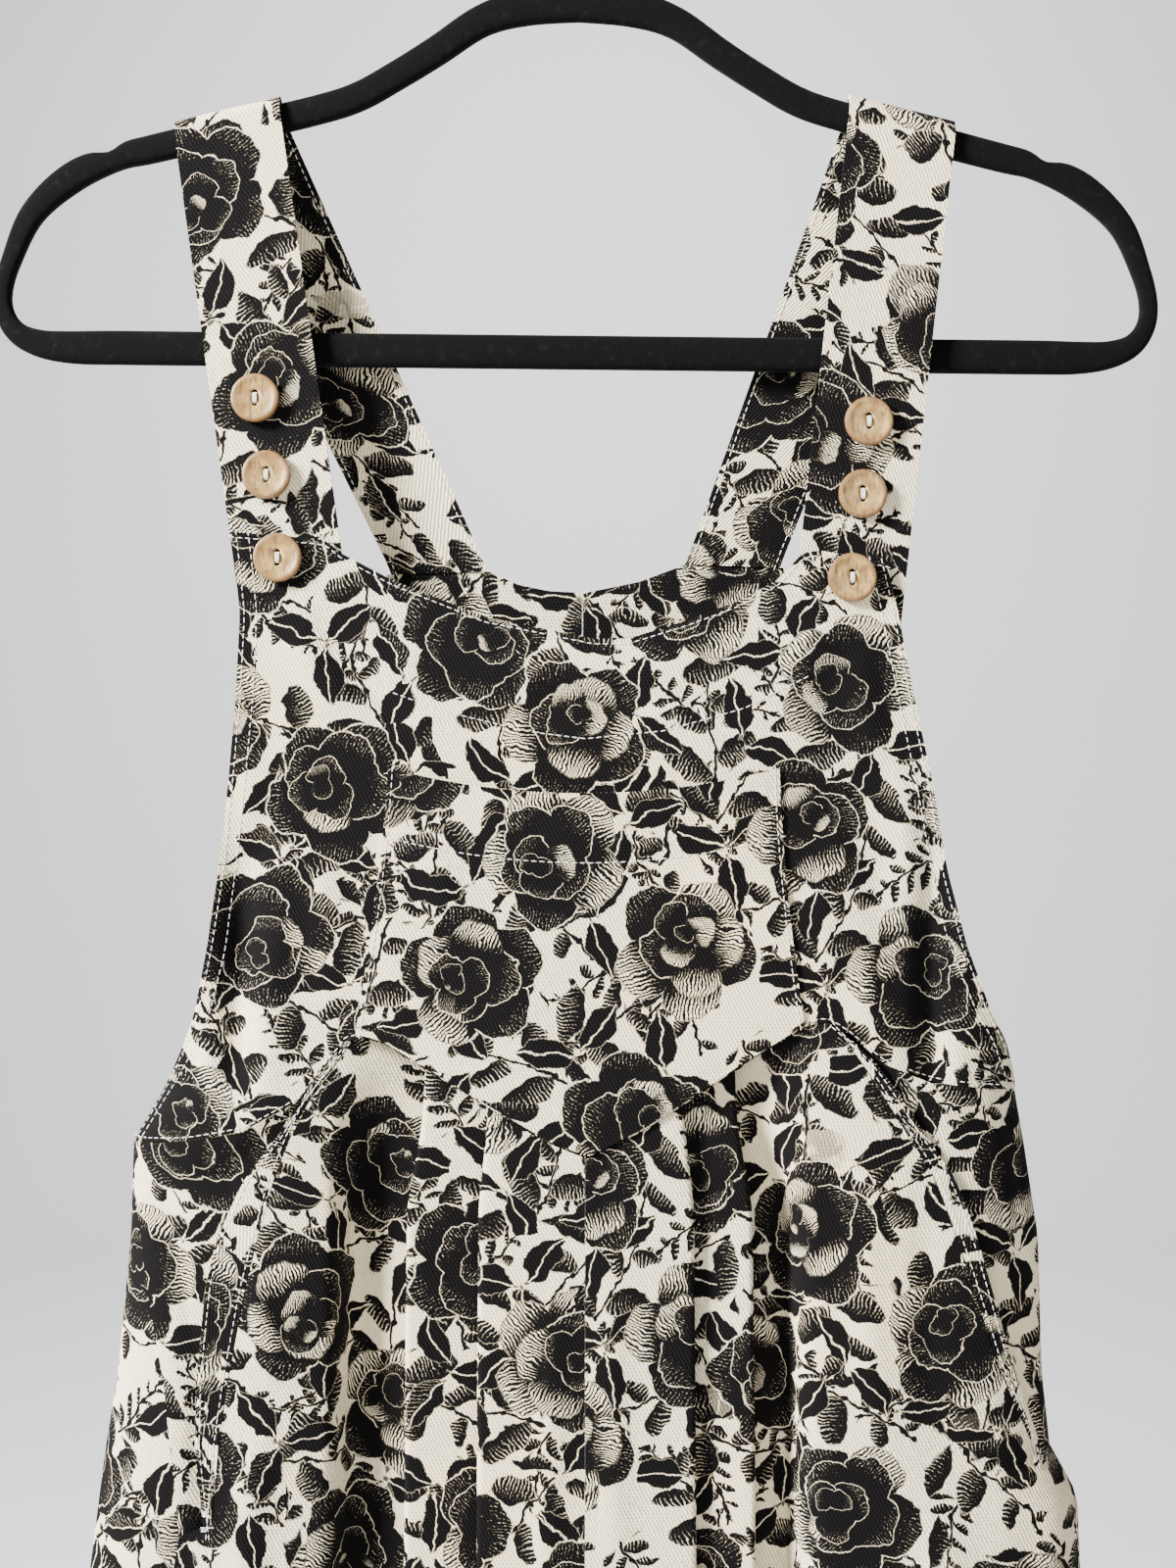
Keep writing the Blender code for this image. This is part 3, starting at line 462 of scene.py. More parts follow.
def front_limit(side, z):
    """Way to the outer edge of a front: the band's seam along the pocket, the side seam below it."""
    seam = seam_way(side, z) - SIDE_GAP
    if z < POCKET_END_Z[side]:
        return seam
    return min(seam, way_at_front_x(side, z, column(POCKET[side], z, 2)) - GAP / 2)


def inner_gap(z):
    """Half of the gap at the inseam, where front and back face each other edge to edge."""
    return GAP / 2 * math.sin(math.radians(crotch_turn(z)))


def bib_depth(x, z):
    """Depth of the front bodice: flat in the middle, round to the side low down, one valley each side."""
    side = "left" if x < 0 else "right"
    low = blend(z, HIP_START_Z, HIP_FULL_Z)
    edge = column(BIB_EDGE, z, by_side(side))
    depth = float(turned(abs(x), edge, column(DEPTH, z, 1), low * BODICE_TURN))
    off = (abs(x) - VALLEY_X[side]) / VALLEY_WIDTH
    dip = VALLEY_DEPTH * blend(z, *VALLEY_START) * math.exp(-(off ** 2))
    fade = 1.0 - blend(z, *VALLEY_END)
    return -max(depth - dip * fade, 0.0) - GAP / 2 * low


def bib_point(share, z):
    left = -column(BIB_EDGE, z, 1)
    right = column(BIB_EDGE, z, 2)
    x = left + (right - left) * share
    return np.array((x, bib_depth(x, z), z))


def back_point(side, part, z):
    edge = column(BACK_EDGE, z, by_side(side))
    inner = CENTRE_BACK_X * SIGN[side] + GAP / 2
    x = inner + (edge - inner) * part
    low = blend(z, HIP_START_Z, HIP_FULL_Z)
    depth = float(turned(x, edge, column(DEPTH, z, 2), low * BODICE_TURN))
    return np.array((SIGN[side] * x, depth + GAP / 2 * low, z))


def hanger_point(across, height):
    """Point of the hanger's own drawing, shifted and tilted as it hangs."""
    x = across * math.cos(HANGER_TILT) + height * math.sin(HANGER_TILT) + HANGER_SHIFT
    z = height * math.cos(HANGER_TILT) - across * math.sin(HANGER_TILT)
    return x, z


def smooth_line(points, parts):
    """Catmull-Rom curve through rows of numbers, with the end rows repeated."""
    rows = [np.array(p, float) for p in (points[0], *points, points[-1])]
    line = []
    for a, b, c, d in zip(rows, rows[1:], rows[2:], rows[3:]):
        for part in range(parts):
            t = part / parts
            square = (2 * a - 5 * b + 4 * c - d) * t ** 2
            cube = (3 * b - a - 3 * c + d) * t ** 3
            line.append(0.5 * (2 * b + (c - a) * t + square + cube))
    line.append(rows[-1])
    return line


# Height step of the fine rows: to the picture's lower edge, and below it
ROW_STEP = 5.5
ROW_STEP_LOW = 9.0
ROW_STEP_CHANGE = -700.0
ROW_TOP = -548.0
FINE_TOP_ROWS = 12

# Narrowest strip that is cut, in metres, with the cloth that its seams take up
NARROWEST_CUT = 0.0105

# How near the middle an edge counts as the centre seam, and the share of that seam's gap that stays open
CENTRE_REACH = 0.6
CENTRE_LEFT_OPEN = 0.1

# Distance from a turned-back fold over which creases grow, and the share of it that stays clear
FOLD_CLEAR = 16.0
FOLD_BARE = 0.25

# Creases: how fast each tapers at its ends, and its bow as a share of its width
CREASE_TAPER = 3.2
CREASE_BOW = 0.5

# Width of one column of the pleated fronts, and the least number of columns between two rows of the table
PLEAT_COLUMN = 3.2
PLEAT_COLUMNS_LEAST = 6

# Angle between two faces above which their edge is sharp, in degrees
SHARP_EDGE = 50.0

# Creases: across and height of one end, of the other end, depth (out of the cloth is above 0), half width
BIB_CREASES = (
    (-112, -322, -84, -352, 1.6, 7.0), (-104, -316, -62, -368, -1.3, 6.0),
    (-131, -352, -124, -402, 1.3, 6.5), (-118, -385, -127, -470, -1.5, 6.0),
    (-112, -430, -118, -505, 1.6, 6.5), (-146, -452, -136, -512, 1.5, 5.0),
    (96, -322, 80, -350, 1.4, 6.5), (104, -326, 112, -380, 1.3, 6.0),
    (118, -372, 133, -448, 1.5, 7.0), (110, -400, 119, -470, -1.3, 6.0),
    (104, -432, 112, -492, 1.2, 6.0), (-60, -338, 62, -341, 0.9, 6.0),
    (-30, -348, 34, -352, -0.8, 6.0), (-98, -400, -93, -474, 0.9, 5.0),
    (94, -396, 92, -468, 0.9, 5.0),
)
POCKET_CREASES = (
    (-58, -398, -46, -440, 0.8, 7.0), (-20, -402, 26, -406, 0.7, 7.0),
    (22, -428, 52, -462, 0.8, 9.0), (-34, -450, -8, -492, 0.8, 9.0), (58, -404, 50, -436, 0.7, 7.0),
)
BACK_CREASES = (
    (-52, -322, -92, -392, 1.4, 8.0), (-30, -318, -58, -402, -1.0, 8.0),
    (-118, -432, -138, -492, 1.6, 7.0), (-40, -420, -22, -496, 1.1, 9.0),
    (50, -320, 96, -398, 1.3, 8.0), (28, -322, 46, -398, -1.0, 8.0),
    (122, -438, 146, -488, 1.5, 7.0), (36, -428, 30, -500, 1.0, 9.0),
    (-12, -330, -14, -420, 0.8, 7.0), (70, -420, 84, -492, -1.0, 8.0),
)
LEG_FRONT_CREASES = {
    "left": (
        (-8, -560, -14, -760, 1.5, 6.0), (-22, -640, -18, -900, -1.4, 7.0),
        (-130, -530, -112, -610, 1.8, 5.5), (-118, -610, -126, -720, 2.0, 7.0),
        (-160, -640, -168, -790, 2.6, 8.0), (-176, -700, -180, -840, -2.0, 8.0),
        (-150, -690, -146, -960, -2.6, 8.0), (-138, -668, -134, -800, 2.2, 6.0),
        (-136, -860, -158, -1120, 2.2, 11.0), (-186, -930, -196, -1220, 2.0, 11.0),
        (-92, -900, -104, -1240, 1.6, 10.0), (-60, -1000, -66, -1310, -1.6, 10.0),
        (-20, -1010, -26, -1290, 1.6, 10.0), (-170, -1180, -178, -1370, -2.0, 11.0),
    ),
    "right": (
        (10, -548, 14, -700, 1.4, 6.0), (20, -660, 26, -930, -1.4, 7.0),
        (104, -520, 112, -640, 1.4, 6.0), (128, -530, 132, -640, -1.4, 6.0),
        (132, -640, 142, -800, 2.4, 8.0), (164, -650, 172, -820, -2.2, 7.0),
        (176, -640, 182, -740, 1.8, 5.0), (118, -800, 124, -1060, -1.8, 9.0),
        (154, -880, 170, -1180, 2.2, 11.0), (190, -960, 204, -1250, 1.9, 10.0),
        (96, -960, 92, -1260, 1.6, 10.0), (56, -940, 62, -1200, -1.5, 9.0),
        (22, -1060, 24, -1330, 1.6, 10.0), (180, -1210, 184, -1380, -1.8, 10.0),
    ),
}
LEG_BACK_CREASES = {
    "left": (
        (-24, -530, -32, -700, 1.6, 8.0), (-70, -540, -92, -690, 1.8, 9.0),
        (-126, -536, -138, -640, -1.6, 8.0), (-20, -800, -74, -846, 2.0, 9.0),
        (-20, -858, -88, -938, 1.8, 10.0), (-118, -760, -140, -1020, 1.8, 10.0),
        (-60, -960, -72, -1300, -1.8, 11.0), (-160, -980, -180, -1340, 2.0, 12.0),
    ),
    "right": (
        (26, -526, 36, -680, 1.5, 8.0), (80, -536, 98, -720, 1.8, 9.0),
        (130, -530, 148, -620, -1.5, 8.0), (18, -790, 66, -850, 2.0, 9.0),
        (22, -866, 96, -930, 1.6, 10.0), (126, -780, 134, -1000, 1.8, 10.0),
        (66, -940, 84, -1280, -1.8, 11.0), (172, -1010, 182, -1360, 2.0, 12.0),
    ),
}


def crease_field(grid, creases):
    """Height of the listed creases over a grid of points, each a soft ridge or trough that tapers off."""
    x = grid[..., 0]
    z = grid[..., 2]
    total = np.zeros(x.shape)
    for x1, z1, x2, z2, depth, width in creases:
        along = np.array((x2 - x1, z2 - z1), float)
        length = np.linalg.norm(along)
        along = along / length
        t = ((x - x1) * along[0] + (z - z1) * along[1]) / length
        off = (x - x1) * along[1] - (z - z1) * along[0]
        bow = width * CREASE_BOW * np.sin(np.clip(t, 0, 1) * math.pi)
        taper = eased(np.clip(np.minimum(t, 1 - t) * CREASE_TAPER, 0, 1))
        total += depth * taper * np.exp(-(((off - bow) / width) ** 2))
    return total


def edge_fade(shape, rows, columns):
    """0 at the rim of a grid, rising to 1 over some rows and columns, so that seams stay where they are."""
    down = np.minimum(np.arange(shape[0]), np.arange(shape[0])[::-1]) / rows
    over = np.minimum(np.arange(shape[1]), np.arange(shape[1])[::-1]) / columns
    return np.clip(down, 0, 1)[:, None] * np.clip(over, 0, 1)[None, :]


def creased(grid, across, creases, mask=1.0, fade=(4, 4)):
    normal = grid_normals(grid, across)
    height = crease_field(grid, creases) * edge_fade(grid.shape, *fade) * mask
    return grid + normal * height[..., None]


# Grids of the cloth pieces that are made, for the stitches that run along their edges
CLOTH_GRIDS = {}


def shell(name, grid, flat, wall, look, reverse=None, across=None):
    """Closed thin wall round a grid of points, with its flat cut as UV map; reverse is the inside's look."""
    CLOTH_GRIDS[name] = (grid, across)
    normal = grid_normals(grid, across)
    rows, columns = grid.shape[:2]
    bm = bmesh.new()
    layer = bm.loops.layers.uv.new(UV_NAME)
    flat_of = {}
    skins = []
    for way in (0.5, -0.5):
        points = (grid + normal * (wall / MM * way)) * MM
        skin = []
        for r in range(rows):
            line = [bm.verts.new(points[r, c]) for c in range(columns)]
            flat_of.update({vert: flat[r, c] * MM for c, vert in enumerate(line)})
            skin.append(line)
        skins.append(skin)
    inner = []
    for r in range(rows - 1):
        for c in range(columns - 1):
            quad = [(r, c), (r + 1, c), (r + 1, c + 1), (r, c + 1)]
            bm.faces.new([skins[0][i][j] for i, j in quad])
            inner.append(bm.faces.new([skins[1][i][j] for i, j in quad[::-1]]))
    rim = [(0, c) for c in range(columns)]
    rim += [(r, columns - 1) for r in range(1, rows)]
    rim += [(rows - 1, c) for c in range(columns - 2, -1, -1)]
    rim += [(r, 0) for r in range(rows - 2, 0, -1)]
    for (r1, c1), (r2, c2) in zip(rim, rim[1:] + rim[:1]):
        bm.faces.new((skins[0][r1][c1], skins[0][r2][c2], skins[1][r2][c2], skins[1][r1][c1]))
    for face in bm.faces:
        for loop in face.loops:
            loop[layer].uv = flat_of[loop.vert]
    if reverse:
        for face in inner:
            face.material_index = 1
    bmesh.ops.recalc_face_normals(bm, faces=bm.faces)
    if bm.calc_volume(signed=True) < 0:
        bmesh.ops.reverse_faces(bm, faces=bm.faces)
    looks = [look, reverse] if reverse else [look]
    return finished(name, bm, looks)


def finished(name, bm, looks, smooth=SHARP_EDGE):
    """Mesh object at the origin from a bmesh in metres."""
    mesh = bpy.data.meshes.new(name)
    bm.to_mesh(mesh)
    bm.free()
    for look in looks:
        mesh.materials.append(look)
    mesh.shade_smooth()
    mesh.set_sharp_from_angle(angle=math.radians(smooth))
    made = bpy.data.objects.new(name, mesh)
    bpy.context.scene.collection.objects.link(made)
    return made


def flat_area(grid):
    """Area of a grid of points in square metres."""
    over = np.diff(grid, axis=1)[:-1]
    down = np.diff(grid, axis=0)[:, :-1]
    return float(np.linalg.norm(np.cross(over, down), axis=2).sum()) * MM * MM


def hang(piece, slot, *nodes):
    """Puts a piece on the one body and hides the CAD nodes that it replaces; its slot is not used."""
    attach(piece, "root")
    if nodes:
        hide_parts(*nodes)


def cloth_wall(name):
    sizes = bpy.context.scene.overalls_cloth
    return sizes.strap_thickness if name.startswith("strap") else sizes.thickness


def make_cloth(name, node, grid, look, flat=None, across=None, reverse=None):
    """Sheet over a grid with its flat cut as UV map, put on the one body in place of its CAD node; what the
    grid measures each way, at least NARROWEST_CUT wide, is worked out but not used.
    """
    flat = grid[..., [0, 2]] if flat is None else flat
    piece = shell(name, grid, flat, cloth_wall(name), look, reverse, across)
    over = max(NARROWEST_CUT, float(np.linalg.norm(np.diff(grid, axis=1), axis=2).sum(axis=1).max()) * MM)
    down = float(np.linalg.norm(np.diff(grid, axis=0), axis=2).sum(axis=0).max()) * MM
    hang(piece, "printed_twill", node)
    min(flat_area(grid), over * down)


def fine_levels():
    high = np.arange(ROW_TOP, ROW_STEP_CHANGE, -ROW_STEP)
    low = np.linspace(ROW_STEP_CHANGE, HEM_Z, int((ROW_STEP_CHANGE - HEM_Z) / ROW_STEP_LOW) + 1)
    return [float(z) for z in high] + [float(z) for z in low]


def fine_panel(side, way_of, count, line, gap, levels, mouth_from=None, end_z=None):
    """Points, directions across and flat cut of a leg panel, read left to right as the front sees it."""
    levels = [z for z in levels if end_z is None or z > end_z]
    if end_z is not None:
        levels.append(end_z)
    points = []
    across = []
    flat = []
    for c in range(count):
        top = drop_to(line, lambda z: at_way(side, z, way_of(c, z))[0]) - gap
        if mouth_from is not None and c >= mouth_from:
            top = POCKET[side][0][0]
        heights = [top + (levels[0] - top) * r / FINE_TOP_ROWS for r in range(FINE_TOP_ROWS)] + levels
        ways = [way_of(c, z) for z in heights]
        points.append([at_way(side, z, way) for z, way in zip(heights, ways)])
        across.append([along_section(side, z, way) for z, way in zip(heights, ways)])
        flat.append([(SIGN[side] * way, z) for z, way in zip(heights, ways)])
    parts = [np.array(item).transpose(1, 0, 2) for item in (points, across, flat)]
    if side == "left":
        return parts[0][:, ::-1], -parts[1][:, ::-1], parts[2][:, ::-1]
    return parts


def centre_shut(grid, side):
    """Brings the edge at the centre seam close to the middle, so that no light shows through the seam."""
    inner = grid[:, -1] if side == "left" else grid[:, 0]
    near = np.abs(inner[:, 0]) < CENTRE_REACH
    inner[near, 0] *= CENTRE_LEFT_OPEN
    return grid


def fine_shares(side):
    """Columns of a pleated front as (row of the pleat table, part of the way to the next row)."""
    rows = PLEATS[side]
    shares = []
    for index in range(len(rows) - RISE_ROWS):
        length = rows[index + 1][0] - rows[index][0]
        steps = max(PLEAT_COLUMNS_LEAST, int(round(length / PLEAT_COLUMN)))
        shares += [(index, part / steps) for part in range(steps)]
    return shares


def fold_mask(ways, marks):
    """1 on the open cloth of a front, 0 in and near its two pleats, each of which takes four rows."""
    folds = marks[FIRST_FOLD : LAST_FOLD + 1]
    near = np.min(np.abs(ways[:, None] - folds[None, :]), axis=1)
    mask = np.clip(near / FOLD_CLEAR - FOLD_BARE, 0, 1)
    for first, last in ((folds[0], folds[3]), (folds[4], folds[7])):
        mask[(ways > first) & (ways < last)] = 0.0
    return mask


# Layers of the print, the upper ones first: spacing, randomness, offset and turn of the set, then the
# motif's own sizes, all in millimetres and degrees at a print scale of PRINT_SCALE
PRINT_SCALE = 78.0
PRINT_LAYERS = (
    ("rose", (69.0, 0.36, (13.0, 40.0), 33.0), (25.0,)),
    ("leaf_cluster", (42.0, 0.4, (121.0, 18.0), 12.0), (3.0, 11.4)),
    ("sprig", (40.0, 0.4, (201.0, 77.0), 78.0), (25.0, 16.0, 0.56)),
    ("sprig", (36.0, 0.4, (55.0, 310.0), 24.0), (16.0, 6.2, 0.5)),
)
PRINT_WOBBLE = 6.5
WOBBLE_SCALE = 0.12
WOBBLE_DETAIL = 2.6
WOBBLE_PLACES = ((0.0, 0.0, 0.0), (91.0, 17.0, 0.0))

# Rings of a rose's petals: how many, distance out, size and start, then the ring's shift from the middle
ROSE_RINGS = (
    (5.0, 0.66, 0.46, 0.10, (0.0, -0.05)),
    (4.0, 0.4, 0.4, 0.43, (0.1, 0.02)),
    (3.0, 0.24, 0.27, 0.71, (-0.1, 0.14)),
    (2.0, 0.1, 0.15, 0.22, (-0.02, 0.24)),
)

# Softness of an engraved line's edge, and the factors that give each petal and leaf a number of its own
LINE_SOFT = 0.2
PICK_INDEX = 12.9898
PICK_SEED = 78.233
PICK_SPREAD = 437.58

# Petals: which are dark, pitch of their lines, and tones of a light and of a solid one as slope and start
PETAL_DARK = (0.3, 0.34)
PETAL_LINES = (9.0, 2.2)
PETAL_LINE_COUNT = 5.6
PETAL_FLECKS = 0.9
PETAL_LIGHT_TONE = (0.95, -0.02)
PETAL_SOLID_TONE = (0.5, 0.64)
PETAL_RIM = (0.925, 0.955)
PETAL_RIM_INK = 0.95

# Leaves: gap at their node, curl, teeth, half width, taper, veins and tone, then the share that is left out
LEAF_NODE_GAP = 2.0
LEAF_CURL = 0.048
LEAF_TOOTH_STEP = 0.75
LEAF_TOOTH = 0.3
LEAF_HALF = 0.52
LEAF_TAPER = -0.28
LEAF_VEIN_SLANT = 0.9
LEAF_VEINS = 3.6
LEAF_TONE = 0.72
LEAF_FLECKS = 0.6
LEAF_MISSING = (0.12, 0.13)
STALK_HALF = (0.75, 0.4)
STALK_INK = 0.9

# Sprigs: bow and its length, thorns, leaflets' swing, size and slant, lines and tone
SPRIG_BOW = 2.8
SPRIG_BOW_LENGTH = 0.45
THORN_STEP = 0.62
THORN_FROM = 0.75
THORN_HEIGHT = 2.4
LEAFLET_SWING = 0.22
LEAFLET_GROWTH = 0.66
LEAFLET_LEAST = 0.14
LEAFLET_GAP = 0.4
LEAFLET_SLANT = 0.5
LEAFLET_LINES = 2.4
LEAFLET_TONE = 0.72
LEAFLET_FLECKS = 0.7


def feed(tree, slot, item):
    """Links a socket or a Value to an input, or stores a plain number or colour in it."""
    if isinstance(item, Value):
        item = item.socket
    if isinstance(item, bpy.types.NodeSocket):
        tree.links.new(item, slot)
    else:
        slot.default_value = item


def fed(tree, node, **inputs):
    """Feeds a node's inputs, each named by its label with _ for a blank."""
    for label, item in inputs.items():
        feed(tree, node.inputs[label.replace("_", " ")], item)
    return node


def add(tree, kind, **inputs):
    return fed(tree, tree.nodes.new(kind), **inputs)


class Value:
    """A number that changes over a surface: a socket of a node tree that sums can be written with."""

    def __init__(self, tree, socket):
        self.tree = tree
        self.socket = socket

    def sum(self, operation, *others):
        node = self.tree.nodes.new("ShaderNodeMath")
        node.operation = operation
        for slot, item in zip(node.inputs, (self, *others)):
            feed(self.tree, slot, item)
        return Value(self.tree, node.outputs[0])

    def __add__(self, other):
        return self.sum("ADD", other)

    def __sub__(self, other):
        return self.sum("SUBTRACT", other)

    def __mul__(self, other):
        return self.sum("MULTIPLY", other)

    def __truediv__(self, other):
        return self.sum("DIVIDE", other)

    def __abs__(self):
        return self.sum("ABSOLUTE")

    def sine(self):
        return self.sum("SINE")

    def cosine(self):
        return self.sum("COSINE")

    def at_least(self, other):
        return self.sum("MAXIMUM", other)

    def at_most(self, other):
        return self.sum("MINIMUM", other)

    def inverse(self):
        return (self * -1.0) + 1.0

    def waves(self):
        """Even waves between 0 and 1."""
        return self.sine() * 0.5 + 0.5

    def step(self, start, end):
        """Soft step from 0 at start to 1 at end; a number for start may be the larger one."""
        node = self.tree.nodes.new("ShaderNodeMapRange")
        node.interpolation_type = "SMOOTHSTEP"
        ends = (start, end, 0.0, 1.0)
        if not isinstance(start, Value) and start > end:
            ends = (end, start, 1.0, 0.0)
        for slot, item in zip(node.inputs, (self, *ends)):
            feed(self.tree, slot, item)
        return Value(self.tree, node.outputs[0])

    def mixed(self, other, share):
        """This value where share is 0, the other where it is 1."""
        return self * share.inverse() + share * other


def parts_of(tree, vector):
    """Across and up of a vector socket."""
    node = add(tree, "ShaderNodeSeparateXYZ", Vector=vector)
    return Value(tree, node.outputs[0]), Value(tree, node.outputs[1])


def new_group(name, inputs, outputs):
    """Shader node group with a vector input, number inputs and number outputs."""
    old = bpy.data.node_groups.get(name)
    if old:
        bpy.data.node_groups.remove(old)
    group = bpy.data.node_groups.new(name, "ShaderNodeTree")
    group.interface.new_socket("Flat", in_out="INPUT", socket_type="NodeSocketVector")
    for label, default in inputs:
        socket = group.interface.new_socket(label, in_out="INPUT", socket_type="NodeSocketFloat")
        socket.default_value = default
    for label in outputs:
        group.interface.new_socket(label, in_out="OUTPUT", socket_type="NodeSocketFloat")
    return group, group.nodes.new("NodeGroupInput"), group.nodes.new("NodeGroupOutput")


def noise(tree, vector, scale, detail=2.0, offset=(0.0, 0.0, 0.0)):
    place = add(tree, "ShaderNodeMapping", Vector=vector, Location=offset)
    grey = add(tree, "ShaderNodeTexNoise", Vector=place.outputs["Vector"], Scale=scale, Detail=detail)
    return Value(tree, grey.outputs[0])


def turned_axes(x, y, cos, sin):
    return x * cos + y * sin, y * cos - x * sin


def scattered(tree, u, v, spacing, randomness, offset, turned_by):
    """Nearest motif of a scattered set: place in its own axes in millimetres, and three numbers of its own.

    The set's rows run at turned_by degrees, so that no two sets line up."""
    turn = math.radians(-turned_by)
    across, up = turned_axes(u, v, math.cos(turn), math.sin(turn))
    across = across + offset[0]
    up = up + offset[1]
    merge = add(tree, "ShaderNodeCombineXYZ", X=across, Y=up)
    cells = add(tree, "ShaderNodeTexVoronoi", Scale=1.0 / spacing, Randomness=randomness)
    cells.voronoi_dimensions = "2D"
    tree.links.new(merge.outputs[0], cells.inputs["Vector"])
    centre_x, centre_y = parts_of(tree, cells.outputs["Position"])
    own = add(tree, "ShaderNodeSeparateColor", Color=cells.outputs["Color"])
    numbers = [Value(tree, own.outputs[i]) for i in range(3)]
    turn = numbers[0] * math.tau
    return *turned_axes(across - centre_x, up - centre_y, turn.cosine(), turn.sine()), numbers


def hatched(tone, lines):
    """Ink of an engraved tone: lines that grow broader where the tone is darker."""
    return (tone - lines).step(-LINE_SOFT, LINE_SOFT)


def spokes(x, y, count, start, seed):
    """Repeats of a motif round its middle: distance out, distance to the side, and a number of its own."""
    far = (x * x + y * y).sum("SQRT")
    sector = (y.sum("ARCTAN2", x) / math.tau + start) * count
    index = sector.sum("FLOOR")
    lean = (sector - index - 0.5) * (math.tau / count)
    pick = ((index * PICK_INDEX + seed * PICK_SEED).sine() * PICK_SPREAD).sum("FRACT")
    return far * lean.cosine(), far * lean.sine(), abs(pick)


def petals(x, y, seed, count, out, size, start, flecks):
    """Ring of round petals: its ink and where it lies. Each petal is nearly solid or lightly engraved."""
    along, off, pick = spokes(x, y, count, start, seed)
    along = along - out
    along = along + off * off * (pick - 0.4) * (0.35 / size)
    reach = (along * along + off * off * 0.82).sum("SQRT") / (pick * (size * 0.2) + size * 0.88)
    inside = reach.step(1.0, 0.95)
    dark = pick.step(*PETAL_DARK)
    base = along.step(size * 0.75, size * -0.55)
    side_lines, long_lines = PETAL_LINES
    lines = ((off * (side_lines / size) + along * (long_lines / size)) * PETAL_LINE_COUNT).waves()
    light, solid = [
        hatched(base * slope + flecks * PETAL_FLECKS + least, lines)
        for slope, least in (PETAL_LIGHT_TONE, PETAL_SOLID_TONE)
    ]
    edge = reach.step(*PETAL_RIM)
    return light.mixed(solid, dark).mixed(dark.inverse() * PETAL_RIM_INK, edge * inside), inside


def rose(x, y, numbers, flecks, radius):
    """Ink and outline of an open rose: rings of petals over each other round a dark heart."""
    ink = None
    for count, out, size, start, shift in ROSE_RINGS:
        ring = (x - shift[0] * radius, y - shift[1] * radius, numbers[2] + count * 0.37)
        own, inside = petals(*ring, count, out * radius, size * radius, numbers[1] + start, flecks)
        taken = inside if ink is None else taken.at_least(inside)
        ink = own * inside if ink is None else ink.mixed(own, inside)
    return ink, taken


def leaf_cluster(x, y, numbers, flecks, count, length):
    """Broad pointed leaves from one node, dark with a pale rib and saw-toothed edges; some are missing."""
    out, off, pick = spokes(x, y, count, numbers[1], numbers[2])
    along = out - (length + LEAF_NODE_GAP)
    off = off + along * along * LEAF_CURL * (pick - 0.5)
    share = along / length
    teeth = (along * LEAF_TOOTH_STEP).sum("FRACT") * LEAF_TOOTH
    half = (share * share).inverse() * (share * LEAF_TAPER + 1.0) * (length * LEAF_HALF) - teeth
    inside = (half - abs(off)).step(0.0, 0.4) * share.step(1.0, 0.98) * share.step(-1.0, -0.98)
    rib = abs(off).step(0.1, 0.42)
    veins = ((along - abs(off) * LEAF_VEIN_SLANT) * LEAF_VEINS).waves()
    half_tone = off.step(-1.5, 2.5) * 0.45
    tone = hatched(half_tone + flecks * LEAF_FLECKS + pick.step(0.1, 0.4) * 0.45 + LEAF_TONE, veins)
    stalk = abs(off).step(*STALK_HALF) * share.step(-0.85, -1.0)
    keep = pick.step(*LEAF_MISSING)
    ink = (inside * tone * rib).at_least(stalk * inside.inverse() * STALK_INK)
    return ink * keep, inside.at_least(stalk) * keep


def sprig(x, y, _, flecks, reach, pitch, breadth):
    """Thin bowed thorny stem with leaflets in pairs that grow smaller towards its tip."""
    off = y - (x / (reach * SPRIG_BOW_LENGTH)).sine() * SPRIG_BOW
    side = abs(off)
    taper = (x / reach).inverse().at_most(1.6).at_least(0.0) * 0.55
    thorn = (x * THORN_STEP).sine().at_least(THORN_FROM) - THORN_FROM
    stem = (side - thorn * THORN_HEIGHT).step(*STALK_HALF) * abs(x).step(reach, reach * 0.96)
    shift = (off / (side + 0.01)) * (pitch * LEAFLET_SWING)
    cell = ((x + shift) / pitch).sum("FRACT") * pitch - pitch * 0.5
    long = taper * (pitch * LEAFLET_GROWTH) + pitch * LEAFLET_LEAST
    past = side - (long + LEAFLET_GAP)
    lean = cell - past * LEAFLET_SLANT
    wide = lean / (long * breadth)
    far = past / long
    inside = (wide * wide + far * far).step(1.05, 0.85) * abs(x).step(reach * 0.94, reach * 0.88)
    lines = ((side * 2.0 + lean) * LEAFLET_LINES).waves()
    tone = hatched(wide * 0.25 + flecks * LEAFLET_FLECKS + LEAFLET_TONE, lines)
    return (inside * tone).at_least(stem), inside.at_least(stem)


MOTIFS = {"rose": rose, "leaf_cluster": leaf_cluster, "sprig": sprig}


